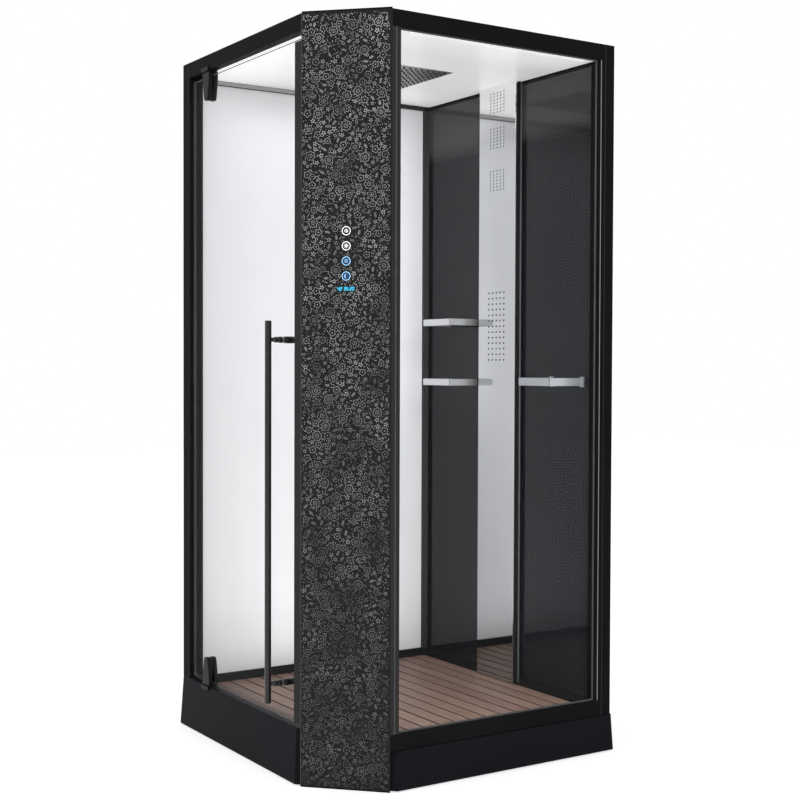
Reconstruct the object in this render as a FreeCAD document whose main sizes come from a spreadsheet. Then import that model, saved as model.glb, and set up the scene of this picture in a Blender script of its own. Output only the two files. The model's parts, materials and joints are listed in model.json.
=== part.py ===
import FreeCAD, Part
import math
import os
import Sketcher

# Steam shower cabin, millimetres, +Z up.
# The origin is the middle of the frame's square plan, on the floor.
# The door faces -Y, the fixed glass faces +X, the control column cuts the corner between them.
# The white wall is on the -X side and the dark wall with the mirror column on the +Y side.

SIZES = (
    ("frame_side", 980, "outside width and depth of the frame"),
    ("frame_height", 2150, "top of the rails above the floor"),
    ("profile", 48, "width of posts and wall rails"),
    ("profile_wall", 2, "wall of every aluminium profile"),
    ("corner_lip", 22, "how far the back left post runs along the white wall"),
    ("screen_depth", 28, "depth of the slim rails that hold the glass"),
    ("wall_rail_height", 59, "height of the top rails over the walls"),
    ("column_cut", 182, "distance from the frame corner to the column's edge"),
    ("column_side", 50, "reach of the column's slanted side walls along X and Y"),
    ("housing_wall", 3, "sheet thickness of the column housing"),
    ("column_glass", 8, "thickness of the patterned column glass"),
    ("cap_thickness", 4, "thickness of the cap on the column"),
    ("floor_gap", 3, "gap between the tray skirt and the floor"),
    ("tray_flare", 8, "how far the skirt stands out at the floor"),
    ("tray_rim", 112, "height of the tray rim that carries the frame"),
    ("lip_height", 160, "height of the door threshold"),
    ("basin_floor", 92, "top of the basin floor"),
    ("basin_thickness", 6, "thickness of the basin floor"),
    ("skirt_thickness", 6, "least thickness of the tray skirt"),
    ("deck_top", 134, "top of the wooden deck"),
    ("slat_thickness", 20, "thickness of a deck slat"),
    ("slat_width", 51, "width of a deck slat"),
    ("slat_gap", 4.7, "gap between two deck slats"),
    ("deck_clearance", 3, "gap round the wooden deck"),
    ("batten_width", 40, "width of a batten under the deck"),
    ("batten_spread", 240, "distance between battens"),
    ("drain_x", -240, "drain position along X"),
    ("drain_y", 250, "drain position along Y"),
    ("drain_radius", 45, "radius of the drain hole"),
    ("drain_flange", 10, "width of the drain flanges"),
    ("drain_cover_thickness", 3, "thickness of the drain cover"),
    ("trap_depth", 56, "depth of the waste trap"),
    ("trap_play", 3, "gap between the trap's bowl and the drain hole"),
    ("trap_bottom", 2, "distance from the waste pipe to the trap's underside"),
    ("trap_collar", 4, "how far the collar stands out round the waste pipe"),
    ("trap_collar_reach", 5, "how far the collar stands out of the trap's bowl"),
    ("waste_radius", 20, "radius of the waste pipe"),
    ("waste_reach", 62, "how far the waste pipe stands out of the trap"),
    ("bar_size", 30, "width and height of a support bar"),
    ("bar_distance", 330, "distance from the middle to an outer support bar"),
    ("foot_inset", 27, "distance from a foot to the end of its support bar"),
    ("foot_radius", 20, "radius of a levelling foot"),
    ("foot_height", 8, "height of the levelling foot's pad"),
    ("foot_stem", 6, "radius of the levelling foot's stem"),
    ("panel_thickness", 6, "thickness of wall panels, mirror and ceiling"),
    ("white_recess", 8, "how far the white wall lies behind the rails' inner faces"),
    ("dark_proud", 2, "how far the dark wall stands in front of the rails' inner faces"),
    ("mullion_width", 60, "width of the mullion behind the mirror column"),
    ("mirror_width", 200, "width of the mirror"),
    ("mirror_proud", 25, "how far the mirror face stands in front of the dark wall"),
    ("mirror_overhang", 3, "how far the mirror laps over the column body"),
    ("mirror_gap", 2, "gap above the deck and under the ceiling at the mirror"),
    ("jet_columns", 5, "nozzles across each jet field"),
    ("massage_rows", 13, "rows of the massage jet field"),
    ("massage_pitch_x", 20.6, "pitch of the massage jets across"),
    ("massage_pitch_z", 18.55, "pitch of the massage jets upwards"),
    ("massage_height", 1310, "middle of the massage jet field"),
    ("massage_tip", 1.9, "radius of a massage nozzle"),
    ("spray_rows", 7, "rows of a spray jet field"),
    ("spray_pitch_x", 18, "pitch of the spray jets across"),
    ("spray_pitch_z", 10.5, "pitch of the spray jets upwards"),
    ("spray_tip", 1.5, "radius of a spray nozzle"),
    ("spray_low", 312, "middle of the lowest spray field below the ceiling"),
    ("spray_middle", 172, "middle of the second spray field below the ceiling"),
    ("spray_high", 55, "middle of the highest spray field below the ceiling"),
    ("nozzle_proud", 1, "how far a nozzle stands out of its plate"),
    ("nozzle_play", 0.3, "gap round a nozzle in its hole"),
    ("manifold_depth", 12, "depth of a jet manifold"),
    ("manifold_margin", 10, "manifold edge beyond the outer nozzles"),
    ("shelf_right", -140, "right end of the shelves along X"),
    ("shelf_width", 160, "width of a shelf"),
    ("shelf_depth", 115, "depth of a shelf"),
    ("shelf_band", 22, "height of the shelf band"),
    ("shelf_sheet", 4, "thickness of the shelf band"),
    ("shelf_plate", 6, "thickness of the shelf glass"),
    ("shelf_plate_drop", 2, "how far the shelf glass lies under the band's top"),
    ("shelf_low", 1112, "underside of the lower shelf band"),
    ("shelf_step", 204, "height from one shelf to the next"),
    ("towel_right", 415, "right end of the towel holder along X"),
    ("towel_width", 153, "width of the towel holder"),
    ("towel_depth", 133, "reach of the towel holder from the wall"),
    ("towel_band", 24, "height of the towel holder band"),
    ("towel_sheet", 5, "thickness of the towel holder band"),
    ("towel_low", 1118, "underside of the towel holder band"),
    ("flange_depth", 7, "thickness of the towel holder's wall flange"),
    ("flange_margin", 4, "flange edge beyond the band"),
    ("ceiling_drop", 45, "underside of the ceiling below the top of the frame"),
    ("head_side", 300, "side of the square rain head"),
    ("head_x", -65, "middle of the rain head along X"),
    ("head_y", 25, "middle of the rain head along Y"),
    ("head_plate", 8, "thickness of the rain head's rim"),
    ("head_drop", 2, "how far the rain head hangs under the ceiling"),
    ("head_tank", 220, "side of the water chamber on the rain head"),
    ("head_tank_height", 10, "height of the water chamber"),
    ("head_inlet", 30, "side of the inlet block on the rain head"),
    ("head_inlet_height", 24, "height of the inlet block on the rain head"),
    ("head_nozzles", 13, "nozzles along one side of the rain head"),
    ("head_pitch", 22, "pitch of the rain head nozzles"),
    ("head_tip", 2, "radius of a rain head nozzle"),
    ("light_width", 12, "width of a light bar"),
    ("light_height", 6, "height of a light bar"),
    ("light_margin", 5, "gap between a light bar and the rail"),
    ("light_end", 40, "light bar end to the frame's parts"),
    ("pipe_radius", 7, "radius of the water and steam pipes"),
    ("pipe_bend", 30, "bend radius of the water pipes"),
    ("pipe_spread", 28, "distance of a water pipe from the column's middle plane"),
    ("pipe_depth", 56, "distance of the water pipes behind the column's face"),
    ("roof_clearance", 15, "pipe centre below the rails' top"),
    ("control_half", 60, "half width of the control box"),
    ("control_depth", 30, "depth of the control box"),
    ("control_low", 1370, "underside of the control box"),
    ("control_tall", 200, "height of the control box"),
    ("key_radius", 13.5, "radius of a touch key"),
    ("key_pitch", 41.4, "distance between touch keys"),
    ("key_low", 1424, "middle of the lowest touch key"),
    ("key_count", 4, "touch keys"),
    ("key_proud", 0.6, "height of keys and display on the glass"),
    ("display_half", 25.5, "half width of the display"),
    ("display_low", 1382, "underside of the display"),
    ("display_tall", 14, "height of the display"),
    ("tank_radius", 38, "radius of the steam tank"),
    ("tank_height", 254, "height of the steam tank over its base"),
    ("tank_base", 6, "thickness of the steam tank's base"),
    ("tank_base_margin", 2, "steam tank's base beyond the tank, in front and behind"),
    ("tank_base_half", 70, "half width of the steam tank's base"),
    ("tank_neck", 12, "radius of the steam tank's neck"),
    ("tank_neck_height", 18, "height of the steam tank's neck"),
    ("steam_rise", 50, "height of the steam outlet over the tank's neck"),
    ("steam_bend", 18, "bend radius of the steam pipe"),
    ("outlet_radius", 28, "radius of the steam outlet"),
    ("outlet_depth", 12, "depth of the steam outlet"),
    ("outlet_spigot", 9, "radius of the steam outlet's spigot"),
    ("outlet_spigot_length", 12, "reach of the spigot behind the housing's face"),
    ("hole_play", 1, "gap round whatever passes through the housing"),
    ("valve_half", 55, "half width of the mixer valve"),
    ("valve_low", 1000, "underside of the mixer valve"),
    ("valve_tall", 200, "height of the mixer valve"),
    ("valve_depth", 58, "depth of the mixer valve"),
    ("inlet_radius", 10.5, "radius of a half inch inlet thread"),
    ("inlet_length", 20, "length of an inlet stub"),
    ("inlet_spread", 30, "distance of an inlet from the middle plane"),
    ("plate_half", 45, "half width of the mixer plate"),
    ("plate_margin", 20, "mixer plate beyond the valve at each end"),
    ("plate_depth", 6, "thickness of the mixer plate"),
    ("knob_radius", 24, "radius of a knob"),
    ("knob_depth", 26, "depth of a knob"),
    ("knob_gap", 0.5, "gap between a knob and the mixer plate"),
    ("knob_inset", 50, "knob axis to the valve's near end"),
    ("grip_width", 9, "width of the grip bar on a knob"),
    ("grip_depth", 9, "height of the grip bar on a knob"),
    ("stem_radius", 5, "radius of a knob's stem"),
    ("stem_depth", 26, "reach of a stem into the valve"),
    ("stem_bore_depth", 30, "depth of the valve's bore for a stem"),
    ("running_play", 0.05, "radial play of stems and pivot pins"),
    ("speaker_radius", 38, "radius of the loudspeaker's basket"),
    ("speaker_flange", 50, "radius of the loudspeaker's front"),
    ("speaker_front", 4, "thickness of the loudspeaker's front"),
    ("speaker_depth", 34, "depth of the loudspeaker behind the housing's face"),
    ("speaker_height", 1700, "height of the loudspeaker"),
    ("glass_thickness", 8, "thickness of the door and the fixed glass"),
    ("glass_inset", 11, "outer glass face behind the frame's face"),
    ("gasket_width", 5, "width of the fixed glass gasket"),
    ("gasket_depth", 3, "depth of the fixed glass gasket"),
    ("channel_width", 12, "width of the glass channel at the back post"),
    ("door_side_gap", 11, "gap between the door glass and the post"),
    ("door_top_gap", 16, "gap between the door glass and the top rail"),
    ("door_bottom_gap", 12, "gap between the door glass and the threshold"),
    ("door_free_gap", 8, "door edge profile to the column"),
    ("edge_width", 38, "width of the door edge profile"),
    ("edge_depth", 22, "depth of the door edge profile"),
    ("edge_web", 10, "solid part of the door edge profile"),
    ("edge_short", 8, "door edge profile shorter than the glass at the top"),
    ("edge_plug", 4, "radius of the end plugs of the edge profile"),
    ("edge_plug_length", 9, "length of the end plugs"),
    ("magnet_thickness", 3.5, "thickness of a magnetic strip"),
    ("magnet_width", 18, "width of a magnetic strip"),
    ("seal_leg", 1.5, "thickness of a seal's clip"),
    ("seal_grip", 8, "height of a seal's clip on the glass"),
    ("seal_fin", 4, "thickness of a seal's fin"),
    ("seal_play", 1.5, "gap between the bottom seal and the threshold"),
    ("side_seal_reach", 8, "reach of the side seal towards the post"),
    ("pivot_x", -316, "door pivot along X"),
    ("pin_radius", 5, "radius of a pivot pin"),
    ("clamp_wide", 48, "width of a hinge clamp at its pivot end"),
    ("clamp_narrow", 28, "width of a hinge clamp at its far end"),
    ("clamp_length", 88, "height of a hinge clamp"),
    ("clamp_straight", 26, "straight part of a hinge clamp"),
    ("clamp_plate", 12, "thickness of a hinge clamp's plates"),
    ("clamp_round", 2, "rounding of a hinge clamp's edges"),
    ("clamp_gap", 0.5, "gap between a clamp's block and the glass edge"),
    ("bracket_plate", 3, "thickness of the upper pivot bracket"),
    ("bracket_gap", 1, "gap between a pivot bracket and its clamp"),
    ("bracket_flange", 6, "thickness of a pivot bracket's front flange"),
    ("bracket_height", 10, "height of a pivot bracket's front flange"),
    ("handle_x", 172, "handle position along X"),
    ("handle_low", 211, "lower end of the handle bar"),
    ("handle_length", 1094, "length of the handle bar"),
    ("handle_radius", 9.5, "radius of the handle bar"),
    ("handle_reach", 43, "handle bar centre in front of the door glass"),
    ("post_inset", 54, "handle post to the end of the bar"),
    ("post_radius", 7, "radius of a handle post"),
    ("washer_radius", 10, "radius of a handle washer"),
    ("washer_thickness", 3, "thickness of a handle washer"),
    ("bolt_radius", 4, "radius of the handle bolts"),
    ("inner_knob_radius", 8, "radius of the handle's inner knobs"),
    ("inner_knob_length", 31, "length of the handle's inner knobs"),
)

SHEET_NAME = "Sizes"
VALUE_COLUMN = "B"
ROOT_TWO = math.sqrt(2)


class Length:
    """A size that keeps both its number and the sheet expression it comes from."""

    def __init__(self, text, value):
        self.text = text
        self.value = value

    def __add__(self, other):
        other = as_length(other)
        return Length(f"({self.text} + {other.text})", self.value + other.value)

    def __radd__(self, other):
        return as_length(other) + self

    def __sub__(self, other):
        other = as_length(other)
        return Length(f"({self.text} - {other.text})", self.value - other.value)

    def __rsub__(self, other):
        return as_length(other) - self

    def __mul__(self, other):
        other = as_length(other)
        return Length(f"({self.text} * {other.text})", self.value * other.value)

    def __rmul__(self, other):
        return as_length(other) * self

    def __truediv__(self, other):
        other = as_length(other)
        return Length(f"({self.text} / {other.text})", self.value / other.value)

    def __neg__(self):
        return Length(f"(0 - {self.text})", -self.value)


def as_length(number):
    if isinstance(number, Length):
        return number
    return Length(repr(float(number)), float(number))


class Sizes:
    """The driving dimensions, each an attribute with its name in the sheet."""


doc = FreeCAD.newDocument("steam_shower_cabin")
sheet = doc.addObject("Spreadsheet::Sheet", SHEET_NAME)
size = Sizes()
for row, (alias, number, meaning) in enumerate(SIZES, start=1):
    cell = f"{VALUE_COLUMN}{row}"
    sheet.set(f"A{row}", meaning)
    sheet.set(cell, str(number))
    sheet.setAlias(cell, alias)
    setattr(size, alias, Length(f"{SHEET_NAME}.{alias}", float(number)))
doc.recompute()

parts = {}


def keep(label, item):
    item.Label = label
    parts[label] = item
    return item


def bind(item, name, length):
    item.setExpression(name, as_length(length).text)


def place(item, x, y, z):
    for name, length in (("x", x), ("y", y), ("z", z)):
        bind(item, f"Placement.Base.{name}", length)


def box(name, x, y, z):
    """A block between the low and high ends given along X, Y and Z."""
    item = doc.addObject("Part::Box", name)
    bind(item, "Length", x[1] - x[0])
    bind(item, "Width", y[1] - y[0])
    bind(item, "Height", z[1] - z[0])
    place(item, x[0], y[0], z[0])
    return item


def rod(name, centre, radius, length, direction=(0, 0, 1)):
    """A cylinder that starts at centre and runs along direction."""
    item = doc.addObject("Part::Cylinder", name)
    bind(item, "Radius", radius)
    bind(item, "Height", length)
    turn = FreeCAD.Rotation(FreeCAD.Vector(0, 0, 1), FreeCAD.Vector(*direction))
    item.Placement = FreeCAD.Placement(FreeCAD.Vector(0, 0, 0), turn)
    place(item, *centre)
    return item


def cut(name, base, tool):
    item = doc.addObject("Part::Cut", name)
    item.Base = base
    item.Tool = tool
    return item


def fuse(name, pieces):
    item = doc.addObject("Part::MultiFuse", name)
    item.Shapes = pieces
    item.Refine = True
    return item


def group(name, pieces):
    item = doc.addObject("Part::Compound", name)
    item.Links = pieces
    return item


def rectangle(across, upward):
    return [
        (across[0], upward[0]),
        (across[1], upward[0]),
        (across[1], upward[1]),
        (across[0], upward[1]),
    ]


def origin_plane(body, role):
    return [item for item in body.Origin.OriginFeatures if item.Role == role][0]


def outline_sketch(body, name, role, loops, offset=0):
    """A sketch of closed outlines whose every corner is held by the sheet."""
    sketch = body.newObject("Sketcher::SketchObject", name)
    sketch.AttachmentSupport = [(origin_plane(body, role), "")]
    sketch.MapMode = "FlatFace"
    bind(sketch, "AttachmentOffset.Base.z", offset)
    first = 0
    for loop in loops:
        corners = [(as_length(across), as_length(upward)) for across, upward in loop]
        count = len(corners)
        for index in range(count):
            start = corners[index]
            end = corners[(index + 1) % count]
            line = Part.LineSegment(
                FreeCAD.Vector(start[0].value, start[1].value, 0),
                FreeCAD.Vector(end[0].value, end[1].value, 0),
            )
            sketch.addGeometry(line, False)
        for index in range(count):
            following = first + (index + 1) % count
            sketch.addConstraint(Sketcher.Constraint("Coincident", first + index, 2, following, 1))
        for index, corner in enumerate(corners):
            for kind, length in (("DistanceX", corner[0]), ("DistanceY", corner[1])):
                number = sketch.addConstraint(
                    Sketcher.Constraint(kind, -1, 1, first + index, 1, length.value)
                )
                title = f"{kind}_{first + index}"
                sketch.renameConstraint(number, title)
                sketch.setExpression(f"Constraints.{title}", length.text)
        first += count
    return sketch


def extrude(name, role, loops, start, length):
    """A padded outline: up from a level, along +X from start, or along -Y from start."""
    body = doc.addObject("PartDesign::Body", name)
    sketch = outline_sketch(body, f"{name}_outline", role, loops)
    pad = body.newObject("PartDesign::Pad", f"{name}_pad")
    pad.Profile = sketch
    bind(pad, "Length", length)
    axis = {"XY_Plane": "z", "YZ_Plane": "x", "XZ_Plane": "y"}[role]
    bind(body, f"Placement.Base.{axis}", start)
    return body


def tube(name, role, across, upward, start, length):
    """A hollow rectangular profile."""
    wall = size.profile_wall
    inner = rectangle(
        (across[0] + wall, across[1] - wall),
        (upward[0] + wall, upward[1] - wall),
    )
    return extrude(name, role, [rectangle(across, upward), inner], start, length)


# Levels and outlines that several pieces share.
HALF = size.frame_side / 2
INNER = HALF - size.profile
EDGE = HALF - size.column_cut
SCREEN = HALF - size.screen_depth
TOP = size.frame_height
WALL_TOP = TOP - size.wall_rail_height
SCREEN_TOP = TOP - size.profile
RIM = size.tray_rim
SILL = size.lip_height
DARK_FACE = INNER - size.dark_proud
MIRROR_BACK = DARK_FACE - size.mirror_proud + size.panel_thickness
COLUMN_WEB = DARK_FACE - size.housing_wall
SUPPLY_Y = (MIRROR_BACK + COLUMN_WEB) / 2
CEILING = TOP - size.ceiling_drop
CHAMFER = EDGE + HALF - size.column_glass * ROOT_TWO
HOLLOW_CUT = CHAMFER - (size.tray_flare + size.skirt_thickness) * ROOT_TWO


def column_path(offset):
    """The column's inner outline, moved by offset towards the cabin."""
    near = (EDGE - offset, -INNER - offset * (ROOT_TWO - 1))
    far = (EDGE - size.column_side - offset * ROOT_TWO, size.column_side - INNER)
    return [near, far, (-far[1], -far[0]), (-near[1], -near[0])]


def tray():
    base = HALF + size.tray_flare
    outline = [
        (-base, -base),
        (CHAMFER - base, -base),
        (base, base - CHAMFER),
        (base, base),
        (-base, base),
    ]
    body = doc.addObject("PartDesign::Body", "shower_tray")
    bottom = outline_sketch(body, "tray_outline", "XY_Plane", [outline], size.floor_gap)
    skirt = body.newObject("PartDesign::Pad", "tray_block")
    skirt.Profile = bottom
    bind(skirt, "Length", SILL - size.floor_gap)
    rise = SILL - size.floor_gap
    skirt.setExpression("TaperAngle", f"0 deg - atan({size.tray_flare.text} / {rise.text})")
    outside = base + size.tray_flare
    above_rim = [
        (EDGE, -outside),
        (outside, -outside),
        (outside, outside),
        (-outside, outside),
        (-outside, -INNER),
        (-INNER, -INNER),
        (-INNER, -SCREEN),
        (EDGE, -SCREEN),
    ]
    basin = [(-INNER, -SCREEN), (EDGE, -SCREEN)]
    basin += column_path(0)
    basin += [(SCREEN, -EDGE), (SCREEN, INNER), (-INNER, INNER)]
    hollow_edge = HALF - size.skirt_thickness
    hollow = [
        (-hollow_edge, -hollow_edge),
        (HOLLOW_CUT - hollow_edge, -hollow_edge),
        (hollow_edge, hollow_edge - HOLLOW_CUT),
        (hollow_edge, hollow_edge),
        (-hollow_edge, hollow_edge),
    ]
    doc.recompute()
    pockets = (
        ("tray_rim_cut", above_rim, SILL, SILL - RIM, False),
        ("tray_basin", basin, RIM, RIM - size.basin_floor, False),
        ("tray_hollow", hollow, 0, size.basin_floor - size.basin_thickness, True),
    )
    volume = body.Shape.Volume
    for name, loop, level, depth, upward in pockets:
        sketch = outline_sketch(body, f"{name}_outline", "XY_Plane", [loop], level)
        pocket = body.newObject("PartDesign::Pocket", name)
        pocket.Profile = sketch
        pocket.Reversed = upward
        bind(pocket, "Length", depth)
        doc.recompute()
        assert body.Shape.Volume < volume, name
        volume = body.Shape.Volume
    drain = rod(
        "drain_hole",
        (size.drain_x, size.drain_y, size.basin_floor - size.basin_thickness * 2),
        size.drain_radius,
        size.basin_thickness * 3,
    )
    keep("shower_tray", cut("tray_with_drain", body, drain))


def tray_supports():
    underside = size.basin_floor - size.basin_thickness
    bar_low = underside - size.bar_size
    back_end = HALF - size.skirt_thickness - size.bar_size / 2
    front_end = size.bar_distance + size.bar_size - HOLLOW_CUT
    bars = []
    for index, x in enumerate((-size.bar_distance, as_length(0), size.bar_distance)):
        across = (x - size.bar_size / 2, x + size.bar_size / 2)
        name = f"support_bar_{index}"
        bars.append(tube(name, "XZ_Plane", across, (bar_low, underside), back_end, back_end - front_end))
    keep("tray_support_bars", group("support_bars", bars))
    feet = []
    foot_ends = (front_end + size.foot_inset, back_end - size.foot_inset)
    spots = [(x, y) for x in (-size.bar_distance, size.bar_distance) for y in foot_ends]
    spots.append((as_length(0), as_length(0)))
    for index, (x, y) in enumerate(spots):
        pad = rod(f"foot_pad_{index}", (x, y, 0), size.foot_radius, size.foot_height)
        stem = rod(
            f"foot_stem_{index}",
            (x, y, size.foot_height),
            size.foot_stem,
            bar_low - size.foot_height,
        )
        feet.append(fuse(f"foot_{index}", [pad, stem]))
    keep("levelling_feet", group("feet", feet))


def drain():
    underside = size.basin_floor - size.basin_thickness
    flange_radius = size.drain_radius + size.drain_flange
    flange = rod(
        "trap_flange",
        (size.drain_x, size.drain_y, underside - size.drain_flange / 2),
        flange_radius,
        size.drain_flange / 2,
    )
    bowl = rod(
        "trap_bowl",
        (size.drain_x, size.drain_y, underside - size.trap_depth),
        size.drain_radius - size.trap_play,
        size.trap_depth,
    )
    pipe_level = underside - size.trap_depth + size.waste_radius + size.trap_collar + size.trap_bottom
    collar_pipe = rod(
        "trap_collar",
        (size.drain_x, size.drain_y, pipe_level),
        size.waste_radius + size.trap_collar,
        size.drain_radius - size.trap_play + size.trap_collar_reach,
        (0, 1, 0),
    )
    pipe = rod(
        "trap_pipe",
        (size.drain_x, size.drain_y, pipe_level),
        size.waste_radius,
        size.drain_radius + size.waste_reach,
        (0, 1, 0),
    )
    keep("waste_trap", fuse("trap", [flange, bowl, collar_pipe, pipe]))
    lid = rod(
        "cover_lid",
        (size.drain_x, size.drain_y, size.basin_floor),
        flange_radius,
        size.drain_cover_thickness,
    )
    collar = rod(
        "cover_collar",
        (size.drain_x, size.drain_y, size.basin_floor - size.basin_thickness / 2),
        size.drain_radius - size.hole_play,
        size.basin_thickness / 2,
    )
    slots = []
    for index in range(6):
        angle = math.radians(60 * index)
        reach = size.drain_radius * 0.6
        slots.append(
            rod(
                f"cover_slot_{index}",
                (
                    size.drain_x + reach * math.cos(angle),
                    size.drain_y + reach * math.sin(angle),
                    size.basin_floor - size.basin_thickness,
                ),
                size.drain_radius * 0.2,
                size.basin_thickness * 3,
            )
        )
    keep("drain_cover", cut("cover", fuse("cover_body", [lid, collar]), group("cover_slots", slots)))


def column_clearance(step_y):
    """The room that the deck leaves for the column, with a step where a slat would end in a chip."""
    loop = [(EDGE - size.deck_clearance, -HALF)]
    loop += column_path(size.deck_clearance)[:3]
    step_x = -EDGE - step_y + INNER + size.deck_clearance * ROOT_TWO
    loop += [(step_x, step_y), (HALF, step_y), (HALF, -HALF)]
    return extrude("column_room", "XY_Plane", [loop], size.basin_floor, size.deck_top)


def deck():
    pitch = size.slat_width + size.slat_gap
    front = size.deck_clearance - SCREEN
    whole_slats = int((-EDGE - front).value // pitch.value) + 1
    room = column_clearance(front + pitch * whole_slats - size.slat_gap / 2)
    x_ends = (-INNER + size.deck_clearance, SCREEN - size.deck_clearance)
    depth = INNER - size.deck_clearance - front
    count = int((depth.value + size.slat_gap.value) // pitch.value)
    levels = (size.deck_top - size.slat_thickness, size.deck_top)
    slats = []
    for index in range(count):
        low = front + pitch * index
        slats.append(box(f"slat_{index}", x_ends, (low, low + size.slat_width), levels))
    keep("deck_slats", cut("slats_round_column", group("slats", slats), room))
    back = front + pitch * count - size.slat_gap
    battens = []
    for index, step in enumerate((-1.5, -0.5, 0.5, 1.5)):
        middle = size.batten_spread * step
        across = (middle - size.batten_width / 2, middle + size.batten_width / 2)
        battens.append(box(f"batten_{index}", across, (front, back), (size.basin_floor, levels[0])))
    keep("deck_battens", cut("battens_round_column", group("battens", battens), room))


def frame():
    left = (-HALF, -INNER)
    right = (INNER, HALF)
    slim_right = (SCREEN, HALF)
    keep("front_left_post", tube("post_a", "XY_Plane", left, left, SILL, TOP - SILL))
    lip = (INNER - size.corner_lip, HALF)
    keep("back_left_post", tube("post_b", "XY_Plane", left, lip, RIM, TOP - RIM))
    keep("back_right_post", tube("post_c", "XY_Plane", right, right, RIM, TOP - RIM))
    slim_top = (SCREEN_TOP, TOP)
    wall_top = (WALL_TOP, TOP)
    base = (RIM, SILL)
    front_rail = tube("rail_a", "YZ_Plane", (-HALF, -SCREEN), slim_top, -INNER, INNER + EDGE)
    keep("front_top_rail", front_rail)
    right_rail = tube("rail_b", "XZ_Plane", slim_right, slim_top, INNER, INNER + EDGE)
    keep("right_top_rail", right_rail)
    side_length = INNER * 2 - size.corner_lip
    side_end = INNER - size.corner_lip
    keep("left_top_rail", tube("rail_c", "XZ_Plane", left, wall_top, side_end, side_length))
    keep("left_bottom_rail", tube("rail_d", "XZ_Plane", left, base, side_end, side_length))
    keep("back_top_rail", tube("rail_e", "YZ_Plane", right, wall_top, -INNER, INNER * 2))
    keep("back_bottom_rail", tube("rail_f", "YZ_Plane", right, base, -INNER, INNER * 2))
    keep("right_bottom_rail", tube("rail_g", "XZ_Plane", slim_right, base, INNER, INNER + EDGE))
    upright = SCREEN_TOP - SILL
    jamb = tube("jamb", "XY_Plane", slim_right, (-EDGE, size.screen_depth - EDGE), SILL, upright)
    keep("glass_jamb", jamb)
    channel_y = (INNER - size.channel_width, INNER)
    channel = tube("channel", "XY_Plane", (SCREEN, HALF - size.profile_wall), channel_y, SILL, upright)
    keep("glass_channel", channel)


def walls():
    levels = (SILL, WALL_TOP)
    white_face = INNER + size.white_recess
    white = box(
        "white_panel",
        (-white_face - size.panel_thickness, -white_face),
        (-INNER, INNER - size.corner_lip),
        levels,
    )
    keep("white_wall_panel", white)
    middle = size.mullion_width / 2
    depth = (DARK_FACE, DARK_FACE + size.panel_thickness)
    keep("dark_wall_panel_left", box("dark_left", (-INNER, -middle), depth, levels))
    keep("dark_wall_panel_right", box("dark_right", (middle, INNER), depth, levels))
    mullion = tube(
        "mullion",
        "XY_Plane",
        (-middle, middle),
        (DARK_FACE, HALF - size.profile_wall),
        SILL,
        WALL_TOP - SILL,
    )
    keep("back_mullion", mullion)


def jet_fields():
    """Each jet field: height, rows, pitch across, pitch upwards and nozzle radius."""
    fields = [
        (size.massage_height, size.massage_rows, size.massage_pitch_x, size.massage_pitch_z, size.massage_tip)
    ]
    for drop in (size.spray_low, size.spray_middle, size.spray_high):
        field = (CEILING - drop, size.spray_rows, size.spray_pitch_x, size.spray_pitch_z, size.spray_tip)
        fields.append(field)
    return fields


def nozzle_spots(height, rows, pitch_x, pitch_z):
    columns = round(size.jet_columns.value)
    count = round(rows.value)
    for row in range(count):
        for column in range(columns):
            x = (column - (columns - 1) / 2) * pitch_x.value
            z = height.value + (row - (count - 1) / 2) * pitch_z.value
            yield x, z


def nozzle_rods(start, length, extra):
    """Cylinders along +Y at every jet, for the nozzles and for their holes."""
    shapes = []
    for height, rows, pitch_x, pitch_z, radius in jet_fields():
        for x, z in nozzle_spots(height, rows, pitch_x, pitch_z):
            foot = FreeCAD.Vector(x, start.value, z)
            shapes.append(
                Part.makeCylinder(radius.value + extra, length.value, foot, FreeCAD.Vector(0, 1, 0))
            )
    return Part.makeCompound(shapes)


def plain_feature(name, shape):
    item = doc.addObject("Part::Feature", name)
    item.Shape = shape
    item.Placement = FreeCAD.Placement()
    return item


def mirror_column():
    face = DARK_FACE - size.mirror_proud
    back = MIRROR_BACK
    levels = (size.deck_top + size.mirror_gap, CEILING - size.mirror_gap / 2)
    tall = levels[1] - levels[0]
    half = size.mirror_width / 2
    side = half - size.mirror_overhang
    sheet_side = side - size.housing_wall
    web = COLUMN_WEB
    channel = [
        (-side, back),
        (-sheet_side, back),
        (-sheet_side, web),
        (sheet_side, web),
        (sheet_side, back),
        (side, back),
        (side, DARK_FACE),
        (-side, DARK_FACE),
    ]
    keep("mirror_column_body", extrude("mirror_body", "XY_Plane", [channel], levels[0], tall))
    blank = box("mirror_blank", (-half, half), (face, back), levels)
    holes = plain_feature(
        "mirror_holes",
        nozzle_rods(face - size.nozzle_proud, size.panel_thickness * 2, size.nozzle_play.value),
    )
    keep("mirror_panel", cut("mirror", blank, holes))
    manifold_face = web - size.manifold_depth
    nozzle_start = face - size.nozzle_proud
    nozzles = plain_feature("jet_nozzles", nozzle_rods(nozzle_start, manifold_face - nozzle_start, 0))
    keep("body_jet_nozzles", nozzles)
    manifolds = []
    for index, (height, rows, pitch_x, pitch_z, radius) in enumerate(jet_fields()):
        reach_x = pitch_x * (size.jet_columns - 1) / 2 + size.manifold_margin
        reach_z = pitch_z * (rows - 1) / 2 + size.manifold_margin
        manifolds.append(
            box(
                f"manifold_{index}",
                (-reach_x, reach_x),
                (manifold_face, web),
                (height - reach_z, height + reach_z),
            )
        )
    keep("jet_manifolds", group("manifolds", manifolds))


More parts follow.
